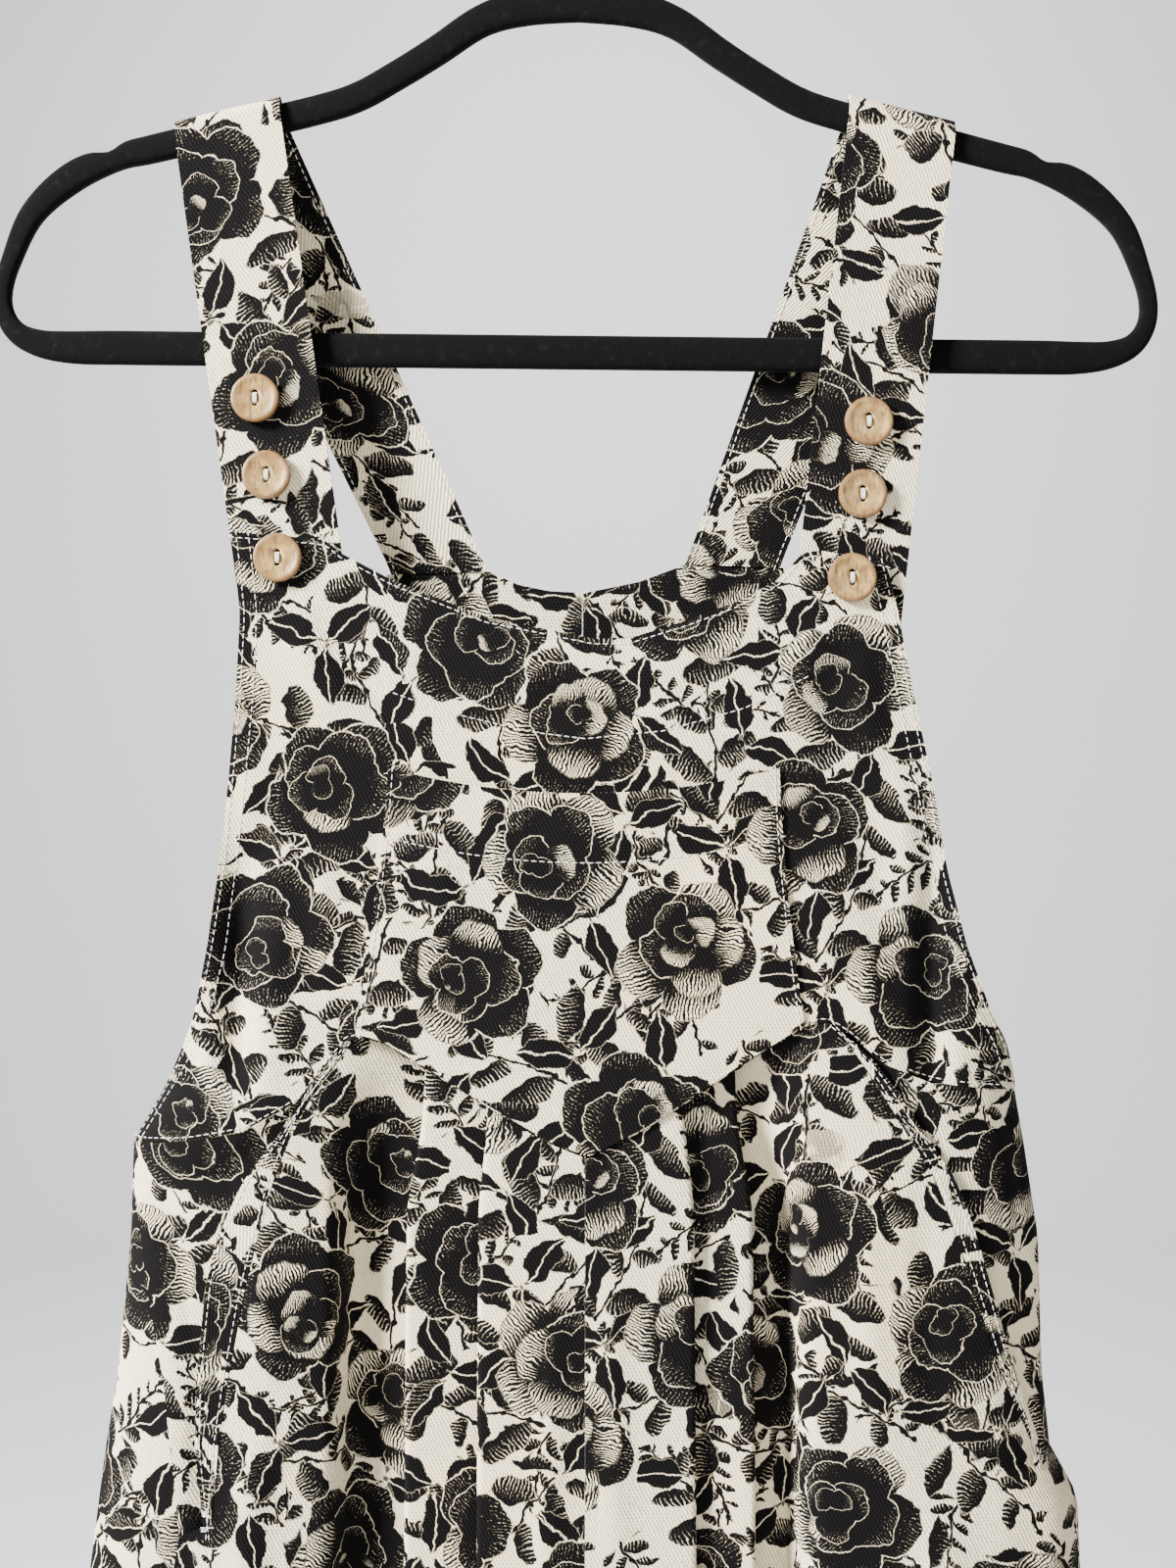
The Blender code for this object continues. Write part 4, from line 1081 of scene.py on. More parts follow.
def rose_print():
    """Engraved roses with leaves, thorny stems and sprigs between them; Flat is in metres on the cut."""
    group, start, end = new_group("rose_print", (("Spacing", PRINT_SCALE * MM),), ("Ink",))
    scaled = group.nodes.new("ShaderNodeVectorMath")
    scaled.operation = "SCALE"
    share = (Value(group, start.outputs["Spacing"]) / PRINT_SCALE).sum("POWER", -1.0)
    fed(group, scaled, Vector=start.outputs["Flat"], Scale=share)
    place = scaled.outputs["Vector"]
    wobble = [noise(group, place, WOBBLE_SCALE, WOBBLE_DETAIL, spot) for spot in WOBBLE_PLACES]
    flecks = noise(group, place, 1.1, 2.0, (7.0, 5.0, 0.0))
    u, v = [part + (off - 0.5) * PRINT_WOBBLE for part, off in zip(parts_of(group, place), wobble)]
    ink = None
    for motif, spread, sizes in PRINT_LAYERS:
        x, y, numbers = scattered(group, u, v, *spread)
        own, inside = MOTIFS[motif](x, y, numbers, flecks, *sizes)
        ink = own if ink is None else ink.at_least(own * taken.inverse())
        taken = inside if motif == "rose" else taken.at_least(inside)
    group.links.new(ink.socket, end.inputs["Ink"])
    return group


def twill_weave():
    """Slanting ribs of twill as a height, with slubs, and Thread, a tone for the colour that is painted
    shade: low in the grooves between the ribs, higher on their crowns and at the slubs. Slant is the ribs'
    angle in radians.
    """
    inputs = (("Pitch", 0.00128), ("Slant", 2.05))
    group, start, end = new_group("twill_weave", inputs, ("Height", "Thread"))
    u, v = parts_of(group, start.outputs["Flat"])
    slant = Value(group, start.outputs["Slant"])
    pitch = Value(group, start.outputs["Pitch"])
    slub = noise(group, start.outputs["Flat"], 420.0, 2.0)
    across = (u * slant.sine() - v * slant.cosine()) / pitch + slub * 0.7
    rib = (across * math.tau).waves()
    along = (u * slant.cosine() + v * slant.sine()) / pitch
    yarn = ((along + across.sum("FLOOR") * 0.5) * (math.tau * 0.9)).waves()
    # Thread is painted shade for the colour: low in the grooves between the ribs, higher on their crowns and
    # where the yarn slubs
    fed(group, end, Height=rib * 0.75 + yarn * 0.25, Thread=rib * 0.7 + slub * 0.6)
    return group


def new_material(name):
    old = bpy.data.materials.get(name)
    if old and not old.users:
        bpy.data.materials.remove(old)
    made = bpy.data.materials.new(name)
    made.use_nodes = True
    return made, made.node_tree, made.node_tree.nodes["Principled BSDF"]


def object_place(tree):
    return tree.nodes.new("ShaderNodeTexCoord").outputs["Object"]


def cut_place(tree):
    """Place on the flat cut, in metres."""
    cut = tree.nodes.new("ShaderNodeUVMap")
    cut.uv_map = UV_NAME
    return cut.outputs["UV"]


def opaque(colour, share=1.0):
    return (*(c * share for c in colour), 1.0)


def mix_colour(tree, first, second, share):
    node = tree.nodes.new("ShaderNodeMix")
    node.data_type = "RGBA"
    for slot, item in zip((6, 7, 0), (first, second, share)):
        feed(tree, node.inputs[slot], item)
    return node.outputs[2]


def lifted(tree, shader, height, distance, strength):
    bump = add(tree, "ShaderNodeBump", Height=height, Distance=distance, Strength=strength)
    tree.links.new(bump.outputs["Normal"], shader.inputs["Normal"])


def twill(name, offset, slant, printed=True):
    """Cream cotton twill with painted shade in the grooves between its ribs, with the print at its own place
    on the cut, or the plain reverse of it.
    """
    sizes = bpy.context.scene.overalls_cloth
    made, tree, shader = new_material(name)
    place = cut_place(tree)
    weave = tree.nodes.new("ShaderNodeGroup")
    weave.node_tree = bpy.data.node_groups["twill_weave"]
    fed(tree, weave, Pitch=sizes.rib_pitch, Slant=slant, Flat=place)
    thread = Value(tree, weave.outputs["Thread"])
    # Painted shade: the cream falls to 0.42 of itself where Thread is low, in the grooves between the ribs
    pale = mix_colour(tree, opaque(sizes.cream, 0.42), opaque(sizes.cream), thread.step(0.12, 0.7))
    warm = opaque([c * k for c, k in zip(sizes.cream, (0.97, 0.93, 0.86))])
    pale = mix_colour(tree, pale, warm, noise(tree, place, 9.0, 4.0).step(0.42, 0.72))
    if printed:
        move = add(tree, "ShaderNodeMapping", Vector=place, Location=(offset[0] * MM, offset[1] * MM, 0.0))
        pattern = tree.nodes.new("ShaderNodeGroup")
        pattern.node_tree = bpy.data.node_groups["rose_print"]
        fed(tree, pattern, Spacing=sizes.rose_spacing, Flat=move.outputs["Vector"])
        worn = thread.step(-0.3, 0.35) * 0.04 + 0.96
        pale = mix_colour(tree, pale, opaque(sizes.ink), Value(tree, pattern.outputs["Ink"]) * worn)
    rough = Value(tree, weave.outputs["Height"]) * 0.1 + 0.8
    fed(tree, shader, Base_Color=pale, Roughness=rough, Specular_IOR_Level=0.05)
    fed(tree, shader, Sheen_Weight=0.01, Sheen_Roughness=0.5)
    lifted(tree, shader, weave.outputs["Height"], 0.0003, 0.9)
    return made


def felt():
    """Black flock on plastic: short soft pile that catches light at its edges."""
    made, tree, shader = new_material("black_flock")
    place = object_place(tree)
    fluff = noise(tree, place, 900.0, 3.0)
    lint = noise(tree, place, 260.0, 2.0, (3.0, 1.0, 2.0))
    flock = bpy.context.scene.overalls_hanger.flock
    pale = opaque([c * 1.8 + 0.0005 for c in flock])
    fed(tree, shader, Base_Color=mix_colour(tree, opaque(flock), pale, lint.step(0.55, 0.8)))
    fed(tree, shader, Roughness=fluff * 0.1 + 0.88, Specular_IOR_Level=0.04)
    fed(tree, shader, Sheen_Weight=0.03, Sheen_Roughness=0.4)
    lifted(tree, shader, fluff, 0.0004, 0.6)
    return made


def polished_wire():
    made, tree, shader = new_material("steel_wire")
    scuffs = noise(tree, object_place(tree), 300.0, 3.0)
    pale = mix_colour(tree, (0.62, 0.62, 0.60, 1.0), (0.5, 0.5, 0.49, 1.0), scuffs.step(0.45, 0.75))
    fed(tree, shader, Base_Color=pale, Roughness=scuffs * 0.2 + 0.14, Metallic=1.0)
    return made


def coconut_shell():
    """Sanded coconut shell: tan with short brown grain lines, darker at the rim."""
    made, tree, shader = new_material("coconut")
    place = cut_place(tree)
    u, v = parts_of(tree, place)
    stretch = add(tree, "ShaderNodeMapping", Vector=place, Scale=(1.0, 0.22, 1.0))
    grain = noise(tree, stretch.outputs["Vector"], 900.0, 4.0)
    clouds = noise(tree, place, 210.0, 3.0)
    tan = opaque(bpy.context.scene.overalls_buttons.tan)
    pale = mix_colour(tree, tan, (0.36, 0.225, 0.07, 1.0), clouds.step(0.4, 0.65))
    brown = mix_colour(tree, pale, (0.12, 0.055, 0.018, 1.0), grain.step(0.5, 0.64) * 0.85)
    own_u = (u / BUTTON_STEP + 0.5).sum("FRACT") * BUTTON_STEP - BUTTON_STEP / 2
    rim = (own_u * own_u + v * v).sum("SQRT").step(0.0070, 0.0089)
    rimmed = mix_colour(tree, brown, (0.13, 0.058, 0.02, 1.0), rim * 0.75)
    fed(tree, shader, Base_Color=rimmed, Roughness=grain * 0.2 + 0.34, Coat_Weight=0.1)
    lifted(tree, shader, grain, 0.00012, 0.5)
    return made


def cotton_thread():
    made, tree, shader = new_material("cotton_thread")
    ply = noise(tree, object_place(tree), 2600.0, 1.0)
    thread = bpy.context.scene.overalls_stitches.thread
    twisted = mix_colour(tree, opaque(thread, 0.8), opaque(thread), ply.step(0.35, 0.65))
    fed(tree, shader, Base_Color=twisted, Roughness=0.75, Sheen_Weight=0.2)
    lifted(tree, shader, ply, 0.0001, 0.5)
    return made


# Place of each piece's print on the shared cloth, in millimetres
PRINT_PLACES = {
    "bib_front": (0.0, 0.0),
    "bib_pocket": (37.0, -52.0),
    "back_bodice": (140.0, 66.0),
    "strap_left": (12.0, 205.0),
    "strap_right": (260.0, 61.0),
    "leg_front_left": (-31.0, 20.0),
    "leg_front_right": (83.0, 133.0),
    "leg_back_left": (410.0, 90.0),
    "leg_back_right": (610.0, 11.0),
    "hip_yoke": (333.0, 222.0),
    "pocket_band": (505.0, 18.0),
}
TWILL_SLANT = math.radians(117.0)
BAND_SLANT = math.radians(88.0)

# Columns and rows of the finer grids
BIB_GRID = (92, 56)
POCKET_GRID = (66, 46)
BACK_GRID = (46, 44)
LEG_SIDE_COLUMNS = 30
LEG_BACK_COLUMNS = 92
YOKE_COLUMNS = 34
BAND_COLUMNS = 7
STRAP_COLUMNS = 17
STRAP_STEPS = 34
FADE_FRONT = (6, 3)
FADE_BACK = (6, 5)

# Share of the gap along the inseam that the dressed legs keep
INSEAM_SHUT = 0.15

# Under-layer of the slanted pockets: how far it goes below the mouth, and how it drops away from the seams
YOKE_LAP_BELOW = 9.0
YOKE_CLEAR = 1.0
YOKE_RAMP = 14.0

# Part of a strap's length at which it leaves the arm, and the steps of its fold in degrees
STRAP_NEAR_FOLD = 0.04
STRAP_FOLD_STEP = 12

# Sides of the round pieces, squareness of the hanger's section, and the notch on each arm: across, depth,
# half width and the height below which there is none
HANGER_SIDES = 20
HANGER_CURVE_STEPS = 7
HANGER_SQUARE = 0.62
HANGER_NOTCH = (178.0, 2.2, 4.5, -170.0)
HOOK_SIDES = 16
HOOK_TURN = range(-62, 213, 5)
HOOK_RISE_Z = -70.5

# Turned face of a button: radius, height above its seat
BUTTON_FACE = (
    (8.1, 0.0), (8.9, 0.25), (9.2, 0.9), (9.15, 2.2), (8.85, 2.75), (8.3, 3.0), (7.7, 3.0),
    (7.1, 2.8), (6.4, 2.5), (5.0, 2.3), (3.6, 2.22),
)
BUTTON_SIDES = 48
BUTTON_SHARP_EDGE = 35.0
BUTTON_NUMBERS = (1, 2, 3)
HOLE_SIDES = 16
HOLE_DEPTH = 0.012

# Distance on the flat cut from one button's own grain to the next, in metres
BUTTON_STEP = 0.05

# Thread through a button: strands, their spacing, radius, steps, sides, height, bow and dive into the holes
STRANDS = 4
STRAND_SPACING = 0.42
STRAND_RADIUS = 0.22
STRAND_STEPS = 8
STRAND_SIDES = 6
STRAND_HEIGHT = 2.35
STRAND_BOW = 0.38
STRAND_DIVE = 3.6
STRAND_DIVE_FROM = 0.75


def cloth_look(place, slant=TWILL_SLANT):
    name = f"twill_{place}"
    return bpy.data.materials.get(name) or twill(name, PRINT_PLACES[place], slant)


def reverse_look():
    return bpy.data.materials.get("twill_reverse") or twill("twill_reverse", (0.0, 0.0), TWILL_SLANT, False)


def bodice_grid(shares, point_of, top_line, waist_line, rows):
    """Columns of a bodice panel, each from the top edge down to the waist seam."""
    columns = []
    for share in shares:
        top = drop_to(top_line, lambda z: point_of(share, z)[0])
        low = drop_to(waist_line, lambda z: point_of(share, z)[0]) + GAP / 2
        columns.append([point_of(share, z) for z in np.linspace(top, low, rows)])
    return np.array(columns).transpose(1, 0, 2)


def make_bib():
    shares = np.linspace(0.0, 1.0, BIB_GRID[0])
    grid = creased(bodice_grid(shares, bib_point, NECKLINE, WAIST, BIB_GRID[1]), None, BIB_CREASES)
    make_cloth("bib_front_cloth", "bib_front", grid, cloth_look("bib_front"))


def pocket_point(part, t):
    top_z = BIB_POCKET_MOUTH + BIB_POCKET_RISE * part ** 2
    x = part * (BIB_POCKET_HALF + BIB_POCKET_FLARE * t ** BIB_POCKET_FLARE_POWER)
    x += BIB_POCKET_SHIFT + BIB_POCKET_SLANT * t
    z = top_z + (column(WAIST, x, 1) + BIB_POCKET_FOOT - top_z) * t
    gape = BIB_POCKET_GAPE * (1.0 - part ** 2) * (1.0 - blend(t, 0.0, 0.5))
    lift = POCKET_LIFT - BIB_POCKET_EDGE_SINK * blend(max(abs(part), t), 0.9, 1.0)
    return np.array((x, bib_depth(x, z) - lift - gape, z))


def make_bib_pocket():
    parts = np.linspace(-1.0, 1.0, POCKET_GRID[0])
    downs = np.linspace(0.0, 1.0, POCKET_GRID[1])
    grid = np.array([[pocket_point(part, t) for part in parts] for t in downs])
    under = crease_field(grid, BIB_CREASES) * edge_fade(grid.shape, 4, 4)
    grid = creased(grid - np.array((0.0, 1.0, 0.0)) * under[..., None], None, POCKET_CREASES)
    make_cloth("bib_pocket_cloth", "bib_pocket", grid, cloth_look("bib_pocket"))


def make_back_bodice(side):
    def point_of(part, z):
        return back_point(side, part, z)

    shares = np.linspace(0.0, 1.0, BACK_GRID[0]) ** BACK_COLUMN_POWER
    grid = bodice_grid(shares, point_of, BACK_TOP, BACK_WAIST, BACK_GRID[1])
    grid = grid if side == "left" else grid[:, ::-1]
    grid = centre_shut(creased(grid, None, BACK_CREASES), side)
    make_cloth(f"back_bodice_{side}_cloth", f"back_bodice_{side}", grid, cloth_look("back_bodice"))


def make_leg_front(side):
    shares = fine_shares(side)
    last = len(shares) + LEG_SIDE_COLUMNS

    def way_of(c, z):
        ways = section(side, z)[3]["ways"]
        if c >= len(shares):
            start = ways[-RISE_ROWS]
            return start + (front_limit(side, z) - start) * (c - len(shares)) / LEG_SIDE_COLUMNS
        index, part = shares[c]
        start = inner_gap(z) * INSEAM_SHUT if index == 0 else ways[index]
        return start + (ways[index + 1] - start) * part

    grid, across, flat = fine_panel(side, way_of, last + 1, WAIST, GAP / 2, fine_levels(), last)
    masks = []
    for z in grid[:, 0, 2]:
        ways = np.array([way_of(c, z) for c in range(last + 1)])
        line = fold_mask(ways, section(side, z)[3]["ways"])
        masks.append(line[::-1] if side == "left" else line)
    grid = centre_shut(creased(grid, across, LEG_FRONT_CREASES[side], np.array(masks), FADE_FRONT), side)
    name = f"leg_front_{side}"
    make_cloth(f"{name}_cloth", name, grid, cloth_look(name), flat, across, reverse_look())


def make_leg_back(side):
    def way_of(c, z):
        start = seam_way(side, z) + SIDE_GAP
        end = section(side, z)[3]["end"] - inner_gap(z) * INSEAM_SHUT
        return start + (end - start) * c / (LEG_BACK_COLUMNS - 1)

    grid, across, flat = fine_panel(side, way_of, LEG_BACK_COLUMNS, BACK_WAIST, GAP / 2, fine_levels())
    grid = centre_shut(creased(grid, across, LEG_BACK_CREASES[side], 1.0, FADE_BACK), side)
    name = f"leg_back_{side}"
    make_cloth(f"{name}_cloth", name, grid, cloth_look(name), flat, across, reverse_look())


def within(value):
    return min(max(value, 0.0), 1.0)


def make_hip_yoke(side):
    def mouth_way(z):
        return way_at_front_x(side, z, column(POCKET[side], z, 1))

    def way_of(c, z):
        start = mouth_way(z) - YOKE_UNDER * blend(z, *YOKE_IN_HEIGHTS) - YOKE_INNER_LAP
        end = seam_way(side, z) - SIDE_GAP
        return start + (end - start) * c / (YOKE_COLUMNS - 1)

    def drop_at(c, z, below_top):
        """How far the layer lies inside: fully under the band, not at all at the side and waist seams."""
        edge = mouth_way(z) + YOKE_CLEAR
        room = max(seam_way(side, z) - edge, 0.1)
        past = way_of(c, z) - edge
        out = within(past / min(room, YOKE_RAMP))
        if room > YOKE_RAMP:
            out = within((way_of(c, z) - seam_way(side, z) + YOKE_RAMP) / YOKE_RAMP)
        high = within(past / YOKE_RAMP) * (1.0 - min(below_top / YOKE_RAMP, 1.0))
        return YOKE_DROP * (1.0 - max(out, high)) ** 2

    end_z = POCKET_END_Z[side] - YOKE_LAP_BELOW
    grid, across, flat = fine_panel(side, way_of, YOKE_COLUMNS, WAIST, GAP / 2, fine_levels(), None, end_z)
    drops = np.zeros(grid.shape[:2])
    for c in range(YOKE_COLUMNS):
        place = YOKE_COLUMNS - 1 - c if side == "left" else c
        for r, z in enumerate(grid[:, place, 2]):
            drops[r, place] = drop_at(c, z, grid[0, place, 2] - z)
    grid = grid - grid_normals(grid, across) * drops[..., None]
    name = f"hip_yoke_{side}"
    make_cloth(f"{name}_cloth", name, grid, cloth_look("hip_yoke"), flat, across, reverse_look())


def make_pocket_band(side):
    def way_of(c, z):
        seam = way_at_front_x(side, z, column(POCKET[side], z, 2)) + GAP / 2
        edge = way_at_front_x(side, z, column(POCKET[side], z, 1))
        edge = max(min(edge, seam_way(side, z) - GAP), seam + BAND_NARROWEST)
        return seam + (edge - seam) * c / (BAND_COLUMNS - 1)

    end_z = POCKET_END_Z[side]
    grid, across, flat = fine_panel(side, way_of, BAND_COLUMNS, WAIST, GAP / 2, fine_levels(), 0, end_z)
    name = f"pocket_band_{side}"
    look = cloth_look("pocket_band", BAND_SLANT)
    make_cloth(f"{name}_cloth", name, grid, look, flat, across, reverse_look())


def strap_line(side):
    """Middle of the band from its front end over the arm to its back end, and the arm's slope there."""
    plan = STRAPS[side]
    slope = ARM_SLOPE + HANGER_TILT * SIGN[side]
    fold_x = plan["fold_x"]
    own_x = abs(fold_x - HANGER_SHIFT)
    own_z = ARM_LEVEL[1] - (own_x - ARM_LEVEL[0]) * math.tan(ARM_SLOPE)
    arm_z = hanger_point(own_x * SIGN[side], own_z)[1]
    radius = HANGER_WALL / 2 + STRAP_CLEAR + STRAP_WALL / 2
    centre = arm_z + (ARM_HEIGHT / 2 - STRAP_FOLD_SINK) / math.cos(slope)

    def below(end, part, y):
        return fold_x + (end[0] - fold_x) * part, y, centre + (end[1] - centre) * part

    rows = []
    for part in np.linspace(1.0, STRAP_NEAR_FOLD, STRAP_STEPS):
        lean = min(1.0, part * STRAP_LEAN)
        rows.append(below(plan["front"], part, -radius + (STRAP_FRONT_Y + radius) * lean))
    for degrees in range(-90, 91, STRAP_FOLD_STEP):
        angle = math.radians(degrees)
        rows.append((fold_x, radius * math.sin(angle), centre + radius * math.cos(angle) / math.cos(slope)))
    back_end = (plan["back"][0], plan["back"][1] + GAP / 2)
    for part in np.linspace(STRAP_NEAR_FOLD, 1.0, STRAP_STEPS):
        rows.append(below(back_end, part, radius + (STRAP_BACK_Y - radius) * part))
    return rows, slope


def make_strap(side):
    rows, slope = strap_line(side)
    parts = np.linspace(-1.0, 1.0, STRAP_COLUMNS)
    grid = []
    flat = []
    length = 0.0
    for i, (x, y, z) in enumerate(rows):
        share = max(0.0, (i - len(rows) + STRAP_STEPS) / (STRAP_STEPS - 1))
        half = STRAP_WIDTH / 2 + (STRAPS[side]["back_half"] - STRAP_WIDTH / 2) * share
        rise = -SIGN[side] * math.tan(slope * (1.0 - share))
        if i:
            length += math.dist(rows[i - 1], rows[i])
        grid.append([(x + part * half, y, z + rise * part * half) for part in parts])
        flat.append([(part * half, length) for part in parts])
    grid = np.array(grid)
    for point in grid[-1]:
        point[2] = column(BACK_TOP, point[0], 1) + GAP * CENTRE_LEFT_OPEN
    name = f"strap_{side}"
    make_cloth(f"{name}_band", name, grid, cloth_look(name), np.array(flat))


def angles(count):
    return [math.tau * s / count for s in range(count)]


def skin(bm, rings, closed=False):
    """Faces from ring to ring of a run, with caps at its ends unless the run closes on itself."""
    rings = [[bm.verts.new(spot) for spot in ring] for ring in rings]
    for one, two in zip(rings, rings[1:] + rings[:1] if closed else rings[1:]):
        for s, t in zip(range(len(one)), [*range(1, len(one)), 0]):
            bm.faces.new((one[s], two[s], two[t], one[t]))
    if not closed:
        bm.faces.new(rings[0])
        bm.faces.new(rings[-1])
    bmesh.ops.recalc_face_normals(bm, faces=bm.faces)


def run_directions(points, closed=False):
    """Unit direction of a run at each of its points."""
    ends = [points[-1], *points, points[0]] if closed else [points[0], *points, points[-1]]
    return [Vector((c[0] - a[0], c[1] - a[1])).normalized() for a, c in zip(ends, ends[2:])]


def ring_across(x, z, along, offsets, shift=0.0):
    """Ring across a line of the hanger's own drawing, each offset given outwards and in depth."""
    ring = []
    for out, depth in offsets:
        px, pz = hanger_point(x - along.y * out, z + along.x * out)
        ring.append(((px - shift) * MM, depth * MM, pz * MM))
    return ring


def squared(value):
    return math.copysign(abs(value) ** HANGER_SQUARE, value)


def make_hanger():
    half = smooth_line(HANGER_LINE, HANGER_CURVE_STEPS)
    line = half + [np.array((-p[0], p[1], p[2])) for p in half[-2:0:-1]]
    notch_x, notch_depth, notch_half, notch_low = HANGER_NOTCH
    rings = []
    for (x, z, height), along in zip(line, run_directions(line, True)):
        notch = notch_depth * math.exp(-(((abs(x) - notch_x) / notch_half) ** 2)) if z > notch_low else 0.0
        offsets = []
        for angle in angles(HANGER_SIDES):
            out = height / 2 * squared(math.sin(angle))
            if (out > 0) == (along.x > 0):
                out -= math.copysign(notch * min(1.0, abs(out) * 2 / height), out)
            offsets.append((out, HANGER_WALL / 2 * squared(math.cos(angle))))
        rings.append(ring_across(x, z, along, offsets))
    bm = bmesh.new()
    skin(bm, rings, True)
    hang(finished("hanger_flocked_frame", bm, [felt()]), "black_flock", "hanger_frame")


def make_hook():
    radius = HOOK_RADIUS + WIRE / 2
    points = [(0.0, HOOK_FOOT_Z), (0.0, HOOK_RISE_Z), *HOOK_NECK]
    for degrees in HOOK_TURN:
        angle = math.radians(degrees)
        points.append((radius * math.cos(angle), -HOOK_RADIUS + radius * math.sin(angle)))
    offsets = [(math.cos(angle) * WIRE / 2, math.sin(angle) * WIRE / 2) for angle in angles(HOOK_SIDES)]
    run = zip(points, run_directions(points))
    bm = bmesh.new()
    skin(bm, [ring_across(x, z, along, offsets, HANGER_SHIFT) for (x, z), along in run])
    hang(finished("hanger_hook_wire", bm, [polished_wire()]), "steel_wire", "hanger_hook")


def button_place(side, number):
    across, height = BUTTONS[side][number - 1]
    if number == BUTTON_NUMBERS[-1]:
        seat = bib_depth(across, height) - CLOTH / 2
    else:
        front = sorted((row[2], row[1]) for row in strap_line(side)[0][: STRAP_STEPS + 1])
        seat = float(np.interp(height, *zip(*front))) - STRAP_WALL / 2
    place = Matrix.Translation((across * MM, (seat - BUTTON_SEAT) * MM, height * MM))
    return place @ Matrix.Rotation(-BUTTON_LEAN[number], 4, "X")


def evaluated_mesh(item):
    bpy.context.view_layer.update()
    return bpy.data.meshes.new_from_object(item.evaluated_get(bpy.context.evaluated_depsgraph_get()))


def hole_cutter(way):
    """Round bar through the disc, above or below its middle."""
    bm = bmesh.new()
    place = Matrix.Translation((0, 0, way * BUTTON_HOLE_SPACING / 2 * MM))
    place = place @ Matrix.Rotation(math.pi / 2, 4, "X")
    size = {"radius1": BUTTON_HOLE * MM, "radius2": BUTTON_HOLE * MM, "depth": HOLE_DEPTH}
    bmesh.ops.create_cone(bm, cap_ends=True, segments=HOLE_SIDES, matrix=place, **size)
    return finished("hole_cutter", bm, [])


def make_button(side, number, look, thread_look):
    """Dished disc with two real holes one above the other, and its thread through them."""
    rings = []
    for radius, out in BUTTON_FACE:
        far = radius * MM
        rings.append([(far * math.cos(a), -out * MM, far * math.sin(a)) for a in angles(BUTTON_SIDES)])
    bm = bmesh.new()
    skin(bm, rings)
    disc = finished(f"button_disc_{side}_{number}", bm, [look], BUTTON_SHARP_EDGE)
    cutters = [hole_cutter(way) for way in (-1.0, 1.0)]
    for cutter in cutters:
        cut = disc.modifiers.new("hole", "BOOLEAN")
        cut.operation = "DIFFERENCE"
        cut.object = cutter
    mesh = evaluated_mesh(disc)
    disc.modifiers.clear()
    disc.data = mesh
    for cutter in cutters:
        bpy.data.objects.remove(cutter, do_unlink=True)
    index = SIDES.index(side) * len(BUTTON_NUMBERS) + number
    layer = mesh.uv_layers.new(name=UV_NAME)
    for loop in mesh.loops:
        spot = mesh.vertices[loop.vertex_index].co
        layer.data[loop.index].uv = (spot.x + index * BUTTON_STEP, spot.z)
    mesh.transform(button_place(side, number))
    hang(disc, "coconut", f"button_{side}_{number}")
    sew_button(side, number, thread_look)


def sew_button(side, number, look):
    """Turns of thread standing between the holes, each a small bowed strand."""
    bm = bmesh.new()
    circle = [(STRAND_RADIUS * math.cos(a), STRAND_RADIUS * math.sin(a)) for a in angles(STRAND_SIDES)]
    for turn in range(STRANDS):
        rings = []
        for t in np.linspace(-1.0, 1.0, STRAND_STEPS + 1):
            x = (turn - (STRANDS - 1) / 2) * STRAND_SPACING * (1.0 - 0.25 * t * t)
            dive = STRAND_DIVE * max(0.0, abs(t) - STRAND_DIVE_FROM)
            y = dive - STRAND_HEIGHT - STRAND_BOW * (1.0 - t * t)
            z = t * BUTTON_HOLE_SPACING / 2
            rings.append([((x + across) * MM, (y + out) * MM, z * MM) for across, out in circle])
        skin(bm, rings)
    thread = finished(f"button_thread_{side}_{number}", bm, [look])
    thread.data.transform(button_place(side, number))
    hang(thread, "printed_twill")


def stitch_tree():
    """Lays stitches of a set length along curves, with an even gap between them."""
    tree = bpy.data.node_groups.new("stitch_run", "GeometryNodeTree")
    sockets = [("Geometry", "Geometry"), ("Pitch", "Float"), ("Length", "Float"), ("Thickness", "Float")]
    for label, kind in (*sockets, ("Thread", "Material")):
        tree.interface.new_socket(label, in_out="INPUT", socket_type=f"NodeSocket{kind}")
    tree.interface.new_socket("Geometry", in_out="OUTPUT", socket_type="NodeSocketGeometry")
    start = tree.nodes.new("NodeGroupInput").outputs
    points = tree.nodes.new("GeometryNodeCurveToPoints")
    points.mode = "LENGTH"
    fed(tree, points, Curve=start["Geometry"], Length=start["Pitch"])
    bead = add(tree, "GeometryNodeMeshUVSphere", Segments=6, Rings=5, Radius=0.5).outputs["Mesh"]
    size = add(tree, "ShaderNodeCombineXYZ", X=start["Thickness"], Y=start["Thickness"], Z=start["Length"])
    turn = tree.nodes.new("FunctionNodeAlignRotationToVector")
    turn.axis = "Z"
    fed(tree, turn, Vector=points.outputs["Tangent"])
    lay = add(tree, "GeometryNodeInstanceOnPoints", Points=points.outputs["Points"], Instance=bead)
    fed(tree, lay, Rotation=turn.outputs["Rotation"], Scale=size.outputs[0])
    real = add(tree, "GeometryNodeRealizeInstances", Geometry=lay.outputs["Instances"]).outputs["Geometry"]
    look = add(tree, "GeometryNodeSetMaterial", Geometry=real, Material=start["Thread"])
    add(tree, "NodeGroupOutput", Geometry=look.outputs["Geometry"])
    return tree


